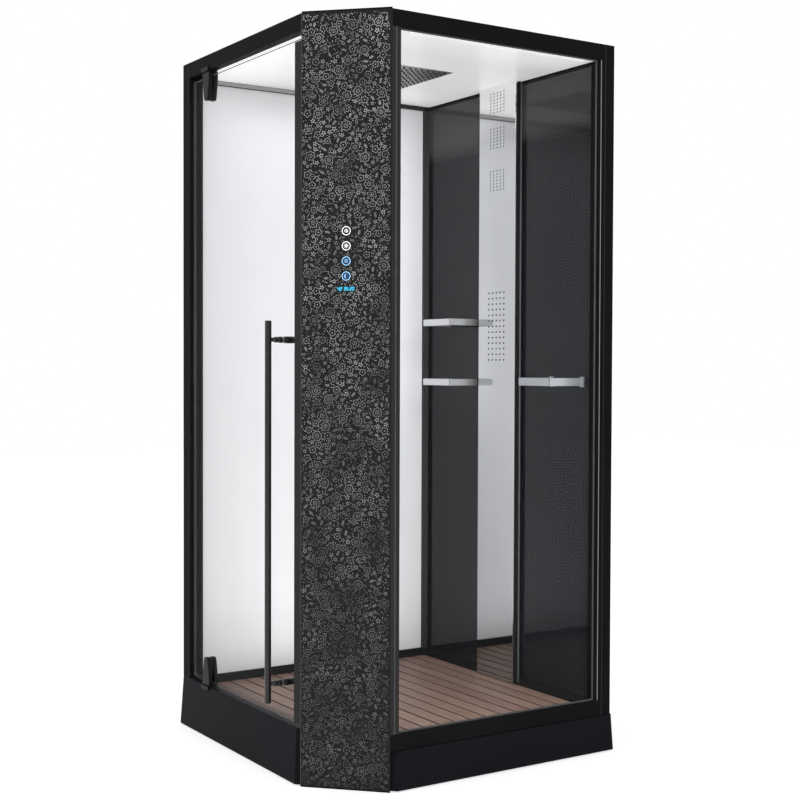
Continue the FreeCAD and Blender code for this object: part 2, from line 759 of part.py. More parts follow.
def band_outline(ends, front, wall, sheet_thickness):
    """A flat band bent into a U whose open side is at the wall."""
    return [
        (ends[0], wall),
        (ends[0], front),
        (ends[1], front),
        (ends[1], wall),
        (ends[1] - sheet_thickness, wall),
        (ends[1] - sheet_thickness, front + sheet_thickness),
        (ends[0] + sheet_thickness, front + sheet_thickness),
        (ends[0] + sheet_thickness, wall),
    ]


def fittings():
    ends = (size.shelf_right - size.shelf_width, size.shelf_right)
    front = DARK_FACE - size.shelf_depth
    outline = band_outline(ends, front, DARK_FACE, size.shelf_sheet)
    bands = []
    plates = []
    for index in range(2):
        low = size.shelf_low + size.shelf_step * index
        bands.append(extrude(f"shelf_band_{index}", "XY_Plane", [outline], low, size.shelf_band))
        plate_top = low + size.shelf_band - size.shelf_plate_drop
        plates.append(
            box(
                f"shelf_glass_{index}",
                (ends[0] + size.shelf_sheet, ends[1] - size.shelf_sheet),
                (front + size.shelf_sheet, DARK_FACE),
                (plate_top - size.shelf_plate, plate_top),
            )
        )
    keep("shelf_rails", group("shelf_bands", bands))
    keep("shelf_glass_plates", group("shelf_plates", plates))
    ends = (size.towel_right - size.towel_width, size.towel_right)
    front = DARK_FACE - size.towel_depth
    wall = DARK_FACE - size.flange_depth
    outline = band_outline(ends, front, wall, size.towel_sheet)
    pieces = [extrude("towel_band", "XY_Plane", [outline], size.towel_low, size.towel_band)]
    levels = (size.towel_low - size.flange_margin, size.towel_low + size.towel_band + size.flange_margin)
    for index, x in enumerate((ends[0], ends[1] - size.towel_sheet)):
        across = (x - size.flange_margin, x + size.towel_sheet + size.flange_margin)
        pieces.append(box(f"towel_flange_{index}", across, (wall, DARK_FACE), levels))
    keep("towel_holder", fuse("towel_holder_body", pieces))


# The column's own directions: u runs along its glass, v inwards, and both start at the face's middle.
FACE_X = (EDGE + HALF) / 2
DEPTH = (size.profile + size.column_side * 2) / ROOT_TWO
HOUSING_BACK = DEPTH - size.housing_wall
INWARD = (-1, 1, 0)


def column_point(u, v):
    return FACE_X + (u - v) / ROOT_TWO, (u + v) / ROOT_TWO - FACE_X


def column_box(name, u, v, z):
    item = doc.addObject("Part::Box", name)
    bind(item, "Length", u[1] - u[0])
    bind(item, "Width", v[1] - v[0])
    bind(item, "Height", z[1] - z[0])
    turn = FreeCAD.Rotation(FreeCAD.Vector(0, 0, 1), 45)
    item.Placement = FreeCAD.Placement(FreeCAD.Vector(0, 0, 0), turn)
    x, y = column_point(u[0], v[0])
    place(item, x, y, z[0])
    return item


def column_rod(name, u, z, v, radius):
    x, y = column_point(as_length(u), v[0])
    return rod(name, (x, y, z), radius, v[1] - v[0], INWARD)


def upright_rod(name, u, v, radius, z):
    x, y = column_point(as_length(u), v)
    return rod(name, (x, y, z[0]), radius, z[1] - z[0])


def ceiling():
    loop = [(-INNER, -SCREEN), (EDGE, -SCREEN)]
    loop += column_path(0)
    loop += [(SCREEN, -EDGE), (SCREEN, INNER), (-INNER, INNER)]
    half = size.head_side / 2
    opening = rectangle(
        (size.head_x - half, size.head_x + half),
        (size.head_y - half, size.head_y + half),
    )
    panel = extrude("ceiling_sheet", "XY_Plane", [loop, opening], CEILING, size.panel_thickness)
    hole = rod(
        "ceiling_hole",
        (0, SUPPLY_Y, CEILING - size.panel_thickness),
        size.pipe_radius + size.hole_play,
        size.panel_thickness * 3,
    )
    keep("ceiling_panel", cut("ceiling_with_hole", panel, hole))
    bars = []
    low = CEILING - size.light_height
    front = -SCREEN + size.light_margin
    bars.append(
        box(
            "light_front",
            (-INNER + size.light_end, EDGE - size.column_side - size.light_end),
            (front, front + size.light_width),
            (low, CEILING),
        )
    )
    side = SCREEN - size.light_margin
    bars.append(
        box(
            "light_right",
            (side - size.light_width, side),
            (-EDGE + size.column_side + size.light_end, INNER - size.light_end),
            (low, CEILING),
        )
    )
    keep("led_light_bars", group("light_bars", bars))


def rain_head():
    low = CEILING - size.head_drop
    half = size.head_side / 2
    plate = box(
        "head_rim",
        (size.head_x - half, size.head_x + half),
        (size.head_y - half, size.head_y + half),
        (low, low + size.head_plate),
    )
    tank_half = size.head_tank / 2
    tank_low = low + size.head_plate
    tank = box(
        "head_tank",
        (size.head_x - tank_half, size.head_x + tank_half),
        (size.head_y - tank_half, size.head_y + tank_half),
        (tank_low, tank_low + size.head_tank_height),
    )
    inlet_low = tank_low + size.head_tank_height
    inlet = doc.addObject("Part::Box", "head_inlet_block")
    bind(inlet, "Length", size.head_inlet)
    bind(inlet, "Width", size.head_inlet)
    bind(inlet, "Height", size.head_inlet_height)
    turn = FreeCAD.Rotation(FreeCAD.Vector(0, 0, 1), 45)
    inlet.Placement = FreeCAD.Placement(FreeCAD.Vector(0, 0, 0), turn)
    place(inlet, size.head_x, size.head_y - size.head_inlet / ROOT_TWO, inlet_low)
    keep("rain_head", fuse("head_body", [plate, tank, inlet]))
    count = round(size.head_nozzles.value)
    tips = []
    for row in range(count):
        for column in range(count):
            x = size.head_x.value + (column - (count - 1) / 2) * size.head_pitch.value
            y = size.head_y.value + (row - (count - 1) / 2) * size.head_pitch.value
            foot = FreeCAD.Vector(x, y, low.value - size.nozzle_proud.value)
            tips.append(Part.makeCylinder(size.head_tip.value, size.nozzle_proud.value, foot))
    keep("rain_head_nozzles", plain_feature("head_tips", Part.makeCompound(tips)))


def pipe_path(points, radius):
    """Straight runs joined by tangent arcs."""
    corners = [FreeCAD.Vector(*point) for point in points]
    edges = []
    start = corners[0]
    for index in range(1, len(corners) - 1):
        corner = corners[index]
        before = (corners[index - 1] - corner).normalize()
        after = (corners[index + 1] - corner).normalize()
        half_turn = (math.pi - before.getAngle(after)) / 2
        setback = radius * math.tan(half_turn)
        arc_start = corner + before * setback
        arc_end = corner + after * setback
        bisector = (before + after).normalize()
        middle = corner + bisector * (radius / math.cos(half_turn) - radius)
        edges.append(Part.LineSegment(start, arc_start).toShape())
        edges.append(Part.Arc(arc_start, middle, arc_end).toShape())
        start = arc_end
    edges.append(Part.LineSegment(start, corners[-1]).toShape())
    return Part.Wire(edges)


def pipe(name, points, radius, bend):
    numbers = [tuple(as_length(value).value for value in point) for point in points]
    path = pipe_path(numbers, bend.value)
    first = path.Edges[0]
    direction = first.tangentAt(first.FirstParameter)
    circle = Part.Circle(FreeCAD.Vector(*numbers[0]), direction, radius.value)
    section = Part.Wire([circle.toShape()])
    shape = path.makePipeShell([section], True, False)
    expected = math.pi * radius.value**2 * path.Length
    assert abs(shape.Volume - expected) < expected * 0.02, name
    return plain_feature(name, shape)


def pipes():
    level = TOP - size.roof_clearance
    valve_top = size.valve_low + size.valve_tall
    rise_x, rise_y = column_point(-size.pipe_spread, size.pipe_depth)
    # The head pipe runs straight in from the column, so it ends on the face of the inlet block
    # that looks at the column.
    head_v = (FACE_X * 2 - (size.head_x - size.head_y)) / ROOT_TWO - size.head_inlet / 2
    end_x, end_y = column_point(-size.pipe_spread, head_v)
    head_points = [(rise_x, rise_y, valve_top), (rise_x, rise_y, level), (end_x, end_y, level)]
    keep("rain_head_pipe", pipe("head_pipe", head_points, size.pipe_radius, size.pipe_bend))
    rise_x, rise_y = column_point(size.pipe_spread, size.pipe_depth)
    turn_y = size.pipe_spread * ROOT_TWO
    field_half = size.spray_pitch_z * (size.spray_rows - 1) / 2
    manifold_top = CEILING - size.spray_high + field_half + size.manifold_margin
    jet_points = [
        (rise_x, rise_y, valve_top),
        (rise_x, rise_y, level),
        (as_length(0), turn_y, level),
        (as_length(0), SUPPLY_Y, level),
        (as_length(0), SUPPLY_Y, manifold_top),
    ]
    keep("jet_supply_pipe", pipe("jet_pipe", jet_points, size.pipe_radius, size.pipe_bend / 2))


def column():
    wall = size.housing_wall
    outer = [(EDGE, EDGE - CHAMFER)] + column_path(0) + [(CHAMFER - EDGE, -EDGE)]
    inner = [(EDGE + wall, EDGE + wall - CHAMFER)] + column_path(-wall)
    inner += [(CHAMFER - EDGE - wall, -EDGE - wall)]
    shell = extrude("housing_shell", "XY_Plane", [outer + inner[::-1]], RIM, TOP - RIM)
    through = (DEPTH - wall * 2, DEPTH + wall)
    play = size.hole_play
    level = TOP - size.roof_clearance
    knob_low = size.valve_low + size.knob_inset
    knob_high = size.valve_low + size.valve_tall - size.knob_inset
    steam = steam_level()
    holes = [
        column_rod("hole_head_pipe", -size.pipe_spread, level, through, size.pipe_radius + play),
        column_rod("hole_jet_pipe", size.pipe_spread, level, through, size.pipe_radius + play),
        column_rod("hole_speaker", 0, size.speaker_height, through, size.speaker_radius + play),
        column_rod("hole_steam", 0, steam, through, size.outlet_spigot + play),
        column_rod("hole_thermostat", 0, knob_low, through, size.stem_radius + play),
        column_rod("hole_diverter", 0, knob_high, through, size.stem_radius + play),
    ]
    keep("column_housing", cut("housing", shell, group("housing_holes", holes)))
    glass = [(EDGE, -HALF), (HALF, -EDGE), (CHAMFER - EDGE, -EDGE), (EDGE, EDGE - CHAMFER)]
    panel = extrude("column_glass_pane", "XY_Plane", [glass], size.floor_gap, TOP - size.floor_gap)
    keep("column_front_panel", panel)
    roof = [(EDGE, -HALF), (HALF, -EDGE)] + column_path(0)[::-1]
    cap = extrude("cap_top", "XY_Plane", [roof], TOP, size.cap_thickness)
    shoe = extrude("cap_bottom", "XY_Plane", [glass], 0, size.floor_gap)
    keep("column_end_caps", group("end_caps", [cap, shoe]))


def controls():
    keys = []
    on_glass = (-size.key_proud, as_length(0))
    for index in range(round(size.key_count.value)):
        level = size.key_low + size.key_pitch * index
        keys.append(column_rod(f"key_{index}", 0, level, on_glass, size.key_radius))
    keep("touch_keys", group("keys", keys))
    window = column_box(
        "window",
        (-size.display_half, size.display_half),
        on_glass,
        (size.display_low, size.display_low + size.display_tall),
    )
    keep("display_window", window)
    electronics = column_box(
        "electronics",
        (-size.control_half, size.control_half),
        (size.column_glass, size.column_glass + size.control_depth),
        (size.control_low, size.control_low + size.control_tall),
    )
    keep("control_box", electronics)
    basket = column_rod(
        "speaker_basket",
        0,
        size.speaker_height,
        (DEPTH - size.speaker_depth, DEPTH),
        size.speaker_radius,
    )
    front = column_rod(
        "speaker_face",
        0,
        size.speaker_height,
        (DEPTH, DEPTH + size.speaker_front),
        size.speaker_flange,
    )
    keep("loudspeaker", fuse("speaker", [basket, front]))


def steam_level():
    return RIM + size.tank_base + size.tank_height + size.tank_neck_height + size.steam_rise


def steam():
    base_low = RIM
    tank_low = base_low + size.tank_base
    neck_low = tank_low + size.tank_height
    neck_top = neck_low + size.tank_neck_height
    middle = size.pipe_depth
    margin = size.tank_radius + size.tank_base_margin
    base = column_box(
        "tank_foot",
        (-size.tank_base_half, size.tank_base_half),
        (middle - margin, middle + margin),
        (base_low, tank_low),
    )
    tank = upright_rod("tank", 0, middle, size.tank_radius, (tank_low, neck_low))
    neck = upright_rod("tank_top", 0, middle, size.tank_neck, (neck_low, neck_top))
    keep("steam_generator", fuse("steam_tank", [base, tank, neck]))
    level = steam_level()
    spigot_end = DEPTH - size.outlet_spigot_length
    spigot = column_rod("spigot", 0, level, (spigot_end, DEPTH), size.outlet_spigot)
    face = column_rod("outlet_face", 0, level, (DEPTH, DEPTH + size.outlet_depth), size.outlet_radius)
    keep("steam_outlet", fuse("outlet", [spigot, face]))
    start_x, start_y = column_point(as_length(0), middle)
    end_x, end_y = column_point(as_length(0), spigot_end)
    points = [(start_x, start_y, neck_top), (start_x, start_y, level), (end_x, end_y, level)]
    keep("steam_pipe", pipe("steam_bend_pipe", points, size.pipe_radius, size.steam_bend))


def mixer():
    low = size.valve_low
    high = low + size.valve_tall
    block = column_box(
        "valve_block",
        (-size.valve_half, size.valve_half),
        (HOUSING_BACK - size.valve_depth, HOUSING_BACK),
        (low, high),
    )
    stub_v = HOUSING_BACK - size.valve_depth / 2
    stubs = []
    for index, side in enumerate((-1, 1)):
        stub = upright_rod(
            f"inlet_{index}",
            size.inlet_spread * side,
            stub_v,
            size.inlet_radius,
            (low - size.inlet_length, low),
        )
        stubs.append(stub)
    knobs = (
        ("thermostat_knob", low + size.knob_inset),
        ("diverter_knob", high - size.knob_inset),
    )
    bores = []
    plate_holes = []
    for name, level in knobs:
        bore = (HOUSING_BACK - size.stem_bore_depth, HOUSING_BACK + size.housing_wall)
        bores.append(column_rod(f"{name}_bore", 0, level, bore, size.stem_radius + size.running_play))
        hole = (DEPTH - size.housing_wall, DEPTH + size.plate_depth * 2)
        plate_holes.append(column_rod(f"{name}_hole", 0, level, hole, size.stem_radius + size.hole_play))
    body = fuse("valve_body", [block] + stubs)
    keep("mixer_valve", cut("valve", body, group("valve_bores", bores)))
    plate = column_box(
        "plate_blank",
        (-size.plate_half, size.plate_half),
        (DEPTH, DEPTH + size.plate_depth),
        (low - size.plate_margin, high + size.plate_margin),
    )
    keep("mixer_plate", cut("plate", plate, group("plate_holes", plate_holes)))
    base = DEPTH + size.plate_depth + size.knob_gap
    for name, level in knobs:
        stem = column_rod(
            f"{name}_stem",
            0,
            level,
            (HOUSING_BACK - size.stem_depth, base),
            size.stem_radius,
        )
        barrel = column_rod(f"{name}_barrel", 0, level, (base, base + size.knob_depth), size.knob_radius)
        grip_reach = size.knob_radius - size.running_play
        grip = column_box(
            f"{name}_grip",
            (-size.grip_width / 2, size.grip_width / 2),
            (base + size.knob_depth, base + size.knob_depth + size.grip_depth),
            (level - grip_reach, level + grip_reach),
        )
        keep(name, fuse(f"{name}_body", [stem, barrel, grip]))


def fixed_glass():
    face = HALF - size.glass_inset
    across = (size.screen_depth - EDGE, INNER - size.channel_width)
    levels = (SILL, SCREEN_TOP)
    keep("fixed_glass", box("fixed_pane", (face - size.glass_thickness, face), across, levels))
    rim = size.gasket_width
    outer = rectangle(across, levels)
    inner = rectangle((across[0] + rim, across[1] - rim), (levels[0] + rim, levels[1] - rim))
    keep("fixed_glass_gasket", extrude("gasket", "YZ_Plane", [outer, inner], face, size.gasket_depth))


GLASS_OUT = -HALF + size.glass_inset
GLASS_IN = GLASS_OUT + size.glass_thickness
GLASS_MID = (GLASS_OUT + GLASS_IN) / 2
DOOR_LOW = SILL + size.door_bottom_gap
DOOR_TOP = SCREEN_TOP - size.door_top_gap
DOOR_LEFT = -INNER + size.door_side_gap
DOOR_RIGHT = EDGE - size.door_free_gap
GLASS_RIGHT = DOOR_RIGHT - size.edge_web
CLAMP_FRONT = GLASS_OUT - size.clamp_plate
CLAMP_BACK = GLASS_IN + size.clamp_plate


def handle_levels():
    return (
        size.handle_low + size.post_inset,
        size.handle_low + size.handle_length - size.post_inset,
    )


def door_leaf():
    blank = box("door_blank", (DOOR_LEFT, GLASS_RIGHT), (GLASS_OUT, GLASS_IN), (DOOR_LOW, DOOR_TOP))
    holes = []
    for index, level in enumerate(handle_levels()):
        start = (size.handle_x, GLASS_OUT - size.glass_thickness, level)
        radius = size.bolt_radius + size.hole_play * 2
        holes.append(rod(f"door_hole_{index}", start, radius, size.glass_thickness * 3, (0, 1, 0)))
    keep("door_glass", cut("door_pane", blank, group("door_holes", holes)))
    left = DOOR_RIGHT - size.edge_width
    outer = GLASS_MID - size.edge_depth / 2
    inner = GLASS_MID + size.edge_depth / 2
    section = [
        (left, outer),
        (DOOR_RIGHT, outer),
        (DOOR_RIGHT, inner),
        (left, inner),
        (left, GLASS_IN),
        (GLASS_RIGHT, GLASS_IN),
        (GLASS_RIGHT, GLASS_OUT),
        (left, GLASS_OUT),
    ]
    edge_top = DOOR_TOP - size.edge_short
    profile_body = extrude("edge_profile", "XY_Plane", [section], DOOR_LOW, edge_top - DOOR_LOW)
    plug_x = DOOR_RIGHT - size.edge_plug - 1
    top_plug = rod("edge_plug_top", (plug_x, GLASS_MID, edge_top), size.edge_plug, size.edge_plug_length)
    low_plug = rod(
        "edge_plug_low",
        (plug_x, GLASS_MID, DOOR_LOW - size.edge_plug_length),
        size.edge_plug,
        size.edge_plug_length,
    )
    keep("door_edge_profile", fuse("edge", [profile_body, top_plug, low_plug]))


def door_seals():
    leg = size.seal_leg
    fin = size.seal_fin / 2
    grip_top = DOOR_LOW + size.seal_grip
    base = DOOR_LOW - leg
    bottom = [
        (GLASS_OUT - leg, grip_top),
        (GLASS_OUT - leg, base),
        (GLASS_MID - fin, base),
        (GLASS_MID - fin, SILL + size.seal_play),
        (GLASS_MID + fin, SILL + size.seal_play),
        (GLASS_MID + fin, base),
        (GLASS_IN + leg, base),
        (GLASS_IN + leg, grip_top),
        (GLASS_IN, grip_top),
        (GLASS_IN, DOOR_LOW),
        (GLASS_OUT, DOOR_LOW),
        (GLASS_OUT, grip_top),
    ]
    clamp_half = size.clamp_wide / 2 + size.hole_play
    clamp_ends = (size.pivot_x - clamp_half, size.pivot_x + clamp_half)
    profile_start = DOOR_RIGHT - size.edge_width
    seals = [
        extrude("seal_short", "YZ_Plane", [bottom], DOOR_LEFT, clamp_ends[0] - DOOR_LEFT),
        extrude("seal_long", "YZ_Plane", [bottom], clamp_ends[1], profile_start - clamp_ends[1]),
    ]
    side = [
        (DOOR_LEFT + size.seal_grip, GLASS_OUT - leg),
        (DOOR_LEFT + size.seal_grip, GLASS_OUT),
        (DOOR_LEFT, GLASS_OUT),
        (DOOR_LEFT, GLASS_IN),
        (DOOR_LEFT + size.seal_grip, GLASS_IN),
        (DOOR_LEFT + size.seal_grip, GLASS_IN + leg),
        (DOOR_LEFT - leg, GLASS_IN + leg),
        (DOOR_LEFT - leg, GLASS_MID + fin),
        (DOOR_LEFT - size.side_seal_reach, GLASS_MID + fin),
        (DOOR_LEFT - size.side_seal_reach, GLASS_MID - fin),
        (DOOR_LEFT - leg, GLASS_MID - fin),
        (DOOR_LEFT - leg, GLASS_OUT - leg),
    ]
    side_low = grip_top + size.hole_play
    seals.append(extrude("seal_side", "XY_Plane", [side], side_low, DOOR_TOP - side_low))
    half = size.magnet_width / 2
    across = (GLASS_MID - half, GLASS_MID + half)
    levels = (DOOR_LOW, DOOR_TOP - size.edge_short)
    seals.append(box("door_magnet", (DOOR_RIGHT, DOOR_RIGHT + size.magnet_thickness), across, levels))
    keep("door_seals", group("seals", seals))
    thick = size.magnet_thickness
    keep("jamb_magnet_strip", box("jamb_magnet", (EDGE - thick, EDGE), across, levels))


def clamp_outline(pivot_end, direction):
    """A shield that is wide at its pivot and narrow at its far end."""
    wide = size.clamp_wide / 2
    narrow = size.clamp_narrow / 2
    waist = pivot_end + size.clamp_straight * direction
    far = pivot_end + size.clamp_length * direction
    shoulder = far - narrow * 0.5 * direction
    return [
        (size.pivot_x - wide, pivot_end),
        (size.pivot_x + wide, pivot_end),
        (size.pivot_x + wide, waist),
        (size.pivot_x + narrow, shoulder),
        (size.pivot_x + narrow * 0.6, far),
        (size.pivot_x - narrow * 0.6, far),
        (size.pivot_x - narrow, shoulder),
        (size.pivot_x - wide, waist),
    ]


def rounded(name, body, plane_y):
    """Round the edges of a plate's outer face."""
    doc.recompute()
    chosen = []
    for index, edge in enumerate(body.Shape.Edges, start=1):
        bounds = edge.BoundBox
        if abs(bounds.YMin - plane_y.value) < 0.01 and abs(bounds.YMax - plane_y.value) < 0.01:
            chosen.append((index, size.clamp_round.value, size.clamp_round.value))
    item = doc.addObject("Part::Fillet", name)
    item.Base = body
    item.Edges = chosen
    return item


def hinge(name, pivot_end, direction, glass_edge):
    outline = clamp_outline(pivot_end, direction)
    outer = extrude(f"{name}_outer", "XZ_Plane", [outline], GLASS_OUT, size.clamp_plate)
    inner = extrude(f"{name}_inner", "XZ_Plane", [outline], CLAMP_BACK, size.clamp_plate)
    outer_plate = rounded(f"{name}_outer_plate", outer, CLAMP_FRONT)
    inner_plate = rounded(f"{name}_inner_plate", inner, CLAMP_BACK)
    half = size.clamp_wide / 2
    block_end = glass_edge - size.clamp_gap * direction
    levels = (pivot_end, block_end)
    if direction < 0:
        levels = (block_end, pivot_end)
    block = box(
        f"{name}_block",
        (size.pivot_x - half, size.pivot_x + half),
        (GLASS_OUT, GLASS_IN),
        levels,
    )
    bore = rod(
        f"{name}_bore",
        (size.pivot_x, GLASS_MID, levels[0] - size.clamp_gap),
        size.pin_radius + size.running_play,
        levels[1] - levels[0] + size.clamp_gap * 2,
    )
    body = fuse(f"{name}_body", [outer_plate, block])
    return [cut(f"{name}_bushed", body, bore), cut(f"{name}_back", inner_plate, bore)]


def hinges():
    upper_end = SCREEN_TOP - size.bracket_plate - size.bracket_gap
    lower_plate = size.bracket_plate * 0.4
    lower_end = SILL + lower_plate + size.bracket_gap
    clamps = hinge("upper_clamp", upper_end, -1, DOOR_TOP)
    clamps += hinge("lower_clamp", lower_end, 1, DOOR_LOW)
    keep("hinge_clamps", group("clamps", clamps))
    half = size.clamp_wide / 2
    across = (size.pivot_x - half, size.pivot_x + half)
    front = -HALF - size.bracket_flange
    relief = size.running_play * 20
    brackets = []
    upper_pin = (DOOR_TOP + size.bracket_gap, SCREEN_TOP)
    lower_pin = (SILL, DOOR_LOW - size.bracket_gap)
    settings = (
        ("upper", (SCREEN_TOP - size.bracket_plate, SCREEN_TOP), upper_pin, -HALF),
        ("lower", (SILL, SILL + lower_plate), lower_pin, -HALF - relief),
    )
    for name, levels, pin_levels, flange_back in settings:
        plate = box(f"{name}_bracket_plate", across, (front, -SCREEN), levels)
        pin = rod(
            f"{name}_pin",
            (size.pivot_x, GLASS_MID, pin_levels[0]),
            size.pin_radius,
            pin_levels[1] - pin_levels[0],
        )
        flange_levels = (levels[0], levels[1] + size.bracket_height)
        if name == "lower":
            flange_levels = (levels[0] - size.bracket_height, levels[1])
        flange = box(f"{name}_bracket_flange", across, (front, flange_back), flange_levels)
        brackets.append(fuse(f"{name}_bracket", [plate, flange, pin]))
    keep("pivot_brackets", group("brackets", brackets))


def handle():
    bar_y = GLASS_OUT - size.handle_reach
    washer_face = GLASS_OUT - size.washer_thickness
    pieces = [rod("handle_tube", (size.handle_x, bar_y, size.handle_low), size.handle_radius, size.handle_length)]
    fixings = []
    for index, level in enumerate(handle_levels()):
        start = (size.handle_x, bar_y, level)
        pieces.append(rod(f"handle_post_{index}", start, size.post_radius, washer_face - bar_y, (0, 1, 0)))
        for place_name, low in (("outer", washer_face), ("inner", GLASS_IN)):
            disc_start = (size.handle_x, low, level)
            disc = rod(
                f"washer_{place_name}_{index}",
                disc_start,
                size.washer_radius,
                size.washer_thickness,
                (0, 1, 0),
            )
            hole = rod(
                f"washer_hole_{place_name}_{index}",
                (size.handle_x, low - size.washer_thickness, level),
                size.bolt_radius + size.running_play * 2,
                size.washer_thickness * 3,
                (0, 1, 0),
            )
            fixings.append(cut(f"washer_{place_name}_ring_{index}", disc, hole))
        knob_face = GLASS_IN + size.washer_thickness
        bolt = rod(
            f"handle_bolt_{index}",
            (size.handle_x, washer_face, level),
            size.bolt_radius,
            knob_face - washer_face,
            (0, 1, 0),
        )
        knob = rod(
            f"inner_knob_{index}",
            (size.handle_x, knob_face, level),
            size.inner_knob_radius,
            size.inner_knob_length,
            (0, 1, 0),
        )
        fixings.append(fuse(f"inner_fixing_{index}", [bolt, knob]))
    keep("handle_bar", fuse("handle_body", pieces))
    keep("handle_fixings", group("fixings", fixings))


def check_and_export():
    doc.recompute()
    for item in doc.Objects:
        for state in item.State:
            if state in ("Invalid", "Error"):
                raise RuntimeError(f"{item.Name} failed: {item.State}")
    for label, item in parts.items():
        shape = item.Shape
        if shape.isNull() or not shape.isValid() or not shape.Solids:
            raise RuntimeError(f"{label} has no valid solid")
    os.makedirs("parts", exist_ok=True)
    for label, item in parts.items():
        item.Shape.exportStep(f"parts/{label}.step")
    print(f"{len(parts)} sub-parts written")


tray()
tray_supports()
drain()
deck()
frame()
walls()
mirror_column()
fittings()
ceiling()
rain_head()
column()
controls()
steam()
mixer()
pipes()
fixed_glass()
door_leaf()
door_seals()
hinges()
handle()
check_and_export()
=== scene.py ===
import json
import math
import random

import bmesh
import bpy
from mathutils import Matrix, Vector

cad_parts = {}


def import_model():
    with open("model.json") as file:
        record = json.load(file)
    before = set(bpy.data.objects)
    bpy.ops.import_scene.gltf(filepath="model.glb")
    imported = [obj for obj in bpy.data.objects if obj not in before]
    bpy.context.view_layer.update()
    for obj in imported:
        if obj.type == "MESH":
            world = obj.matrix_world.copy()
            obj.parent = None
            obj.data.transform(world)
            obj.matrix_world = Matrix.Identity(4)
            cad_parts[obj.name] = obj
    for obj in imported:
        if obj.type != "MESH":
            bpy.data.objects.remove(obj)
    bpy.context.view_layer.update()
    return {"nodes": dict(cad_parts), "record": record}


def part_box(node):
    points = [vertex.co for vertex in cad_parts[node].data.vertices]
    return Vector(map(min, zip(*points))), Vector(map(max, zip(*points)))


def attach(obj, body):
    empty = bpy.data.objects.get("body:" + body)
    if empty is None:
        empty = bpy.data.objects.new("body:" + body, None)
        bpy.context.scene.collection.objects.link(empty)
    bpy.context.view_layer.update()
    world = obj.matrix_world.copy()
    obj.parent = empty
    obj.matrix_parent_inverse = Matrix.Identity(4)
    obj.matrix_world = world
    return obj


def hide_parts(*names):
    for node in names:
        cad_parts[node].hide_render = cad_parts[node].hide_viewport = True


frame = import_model()

MM = 0.001
GRID = 100000  # corners that round to the same hundredth of a millimetre count as one
ROOT = math.sqrt(0.5)

# The column's front faces (1, -1, 0); u runs along it, v into the cabin, from the front's middle.
FACE = Vector((399, -399, 0))
ACROSS = Vector((ROOT, ROOT, 0))
INWARD = Vector((-ROOT, ROOT, 0))
UP = Vector((0, 0, 1))

# The deck's boards run along X; the first three are measures along Y, in m.
DECK_EDGE, BOARD_PITCH, BOARD_GAP, BOARDS = -0.459, 0.0557, 0.0047, 16

# A pane's cut edges have less than this of their normal along the pane's axis.
EDGE_NORMAL = 0.6

# The ceiling's underside has its normal's Z below this.
UNDERSIDE_NORMAL = -0.5

# How strongly the ceiling glows at the light strips: painted light, as the ceiling is no lamp.
STRIP_GLOW = 0.24

# Spans over which a look changes, in m: along Z, apart from the last three.
# Below this span the boards' sides get painted shade.
BOARD_TOP = (0.1314, 0.1334)
# Over this span the print's painted shade lifts from the column's foot upwards.
PRINT_PAINTED_SHADE = (0.3, 1.9)
# Over this span the mirror's painted shade lifts from its foot upwards.
MIRROR_PAINTED_SHADE = (0.2, 1.3)
# Over this line the mirror turns brighter with a painted reflection of the ceiling.
PAINTED_REFLECTION_LINE = (1.93, 1.99)
# Over this band the dark panels turn greyer with painted light.
PAINTED_WASH_BAND = (1.88, 1.97)
# The ceiling's painted light fades out over these spans, away from the front and the right light strips.
GLOW_FROM_FRONT_Y = (-0.45, -0.15)
GLOW_FROM_RIGHT_X = (0.45, 0.2)
# Over this span the cove's painted shade darkens it towards the back corner.
COVE_PAINTED_SHADE_Y = (0.16, 0.30)


def on_column(u, v, z):
    return FACE + ACROSS * u + INWARD * v + UP * z


# ---------------------------------------------------------------- shader helpers


def node(tree, kind, settings=None, **inputs):
    """A shader node. Inputs go by name, or by place as i0, i1 and on; a value may be a node's output."""
    made = tree.nodes.new("ShaderNode" + kind)
    for key, value in (settings or {}).items():
        setattr(made, key, value)
    for key, value in inputs.items():
        by_place = key[0] == "i" and key[1:].isdigit()
        socket = made.inputs[int(key[1:]) if by_place else key.replace("_", " ")]
        if isinstance(value, bpy.types.NodeSocket):
            tree.links.new(value, socket)
        else:
            socket.default_value = value
    return made


def calc(tree, operation, *values):
    inputs = {f"i{k}": value for k, value in enumerate(values)}
    return node(tree, "Math", {"operation": operation}, **inputs).outputs[0]


def tones(tree, factor, *colours, start=0.3, end=0.7):
    """A ramp of colours at equal steps from start to end; one number stands for a grey."""
    made = node(tree, "ValToRGB", Fac=factor)
    elements = made.color_ramp.elements
    for index, colour in enumerate(colours):
        place = start + (end - start) * index / (len(colours) - 1)
        element = elements[index] if index < 2 else elements.new(place)
        element.position = place
        element.color = (*(colour if isinstance(colour, tuple) else (colour,) * 3), 1)
    return made.outputs[0]


def spread(tree, value, low, high, start=0.3, end=0.7, kind="LINEAR"):
    """Maps start to low and end to high, and holds them outside that span."""
    return node(tree, "MapRange", {"interpolation_type": kind},
                i0=value, i1=start, i2=end, i3=low, i4=high).outputs[0]


def mixed(tree, factor, first, second, mode="MIX"):
    return node(tree, "Mix", {"data_type": "RGBA", "blend_type": mode}, i0=factor, i6=first,
                i7=second).outputs[2]


def dimmed(tree, colour, value):
    return node(tree, "HueSaturation", Value=value, Color=colour).outputs[0]


def along(tree, vector, axis):
    return node(tree, "SeparateXYZ", Vector=vector).outputs[axis]


def normal_along(tree, axis):
    return along(tree, node(tree, "TexCoord").outputs["Normal"], axis)


def slant(tree):
    """How far a surface turns away from the viewer, from 0 to 1."""
    return node(tree, "LayerWeight", Blend=0.5).outputs["Facing"]


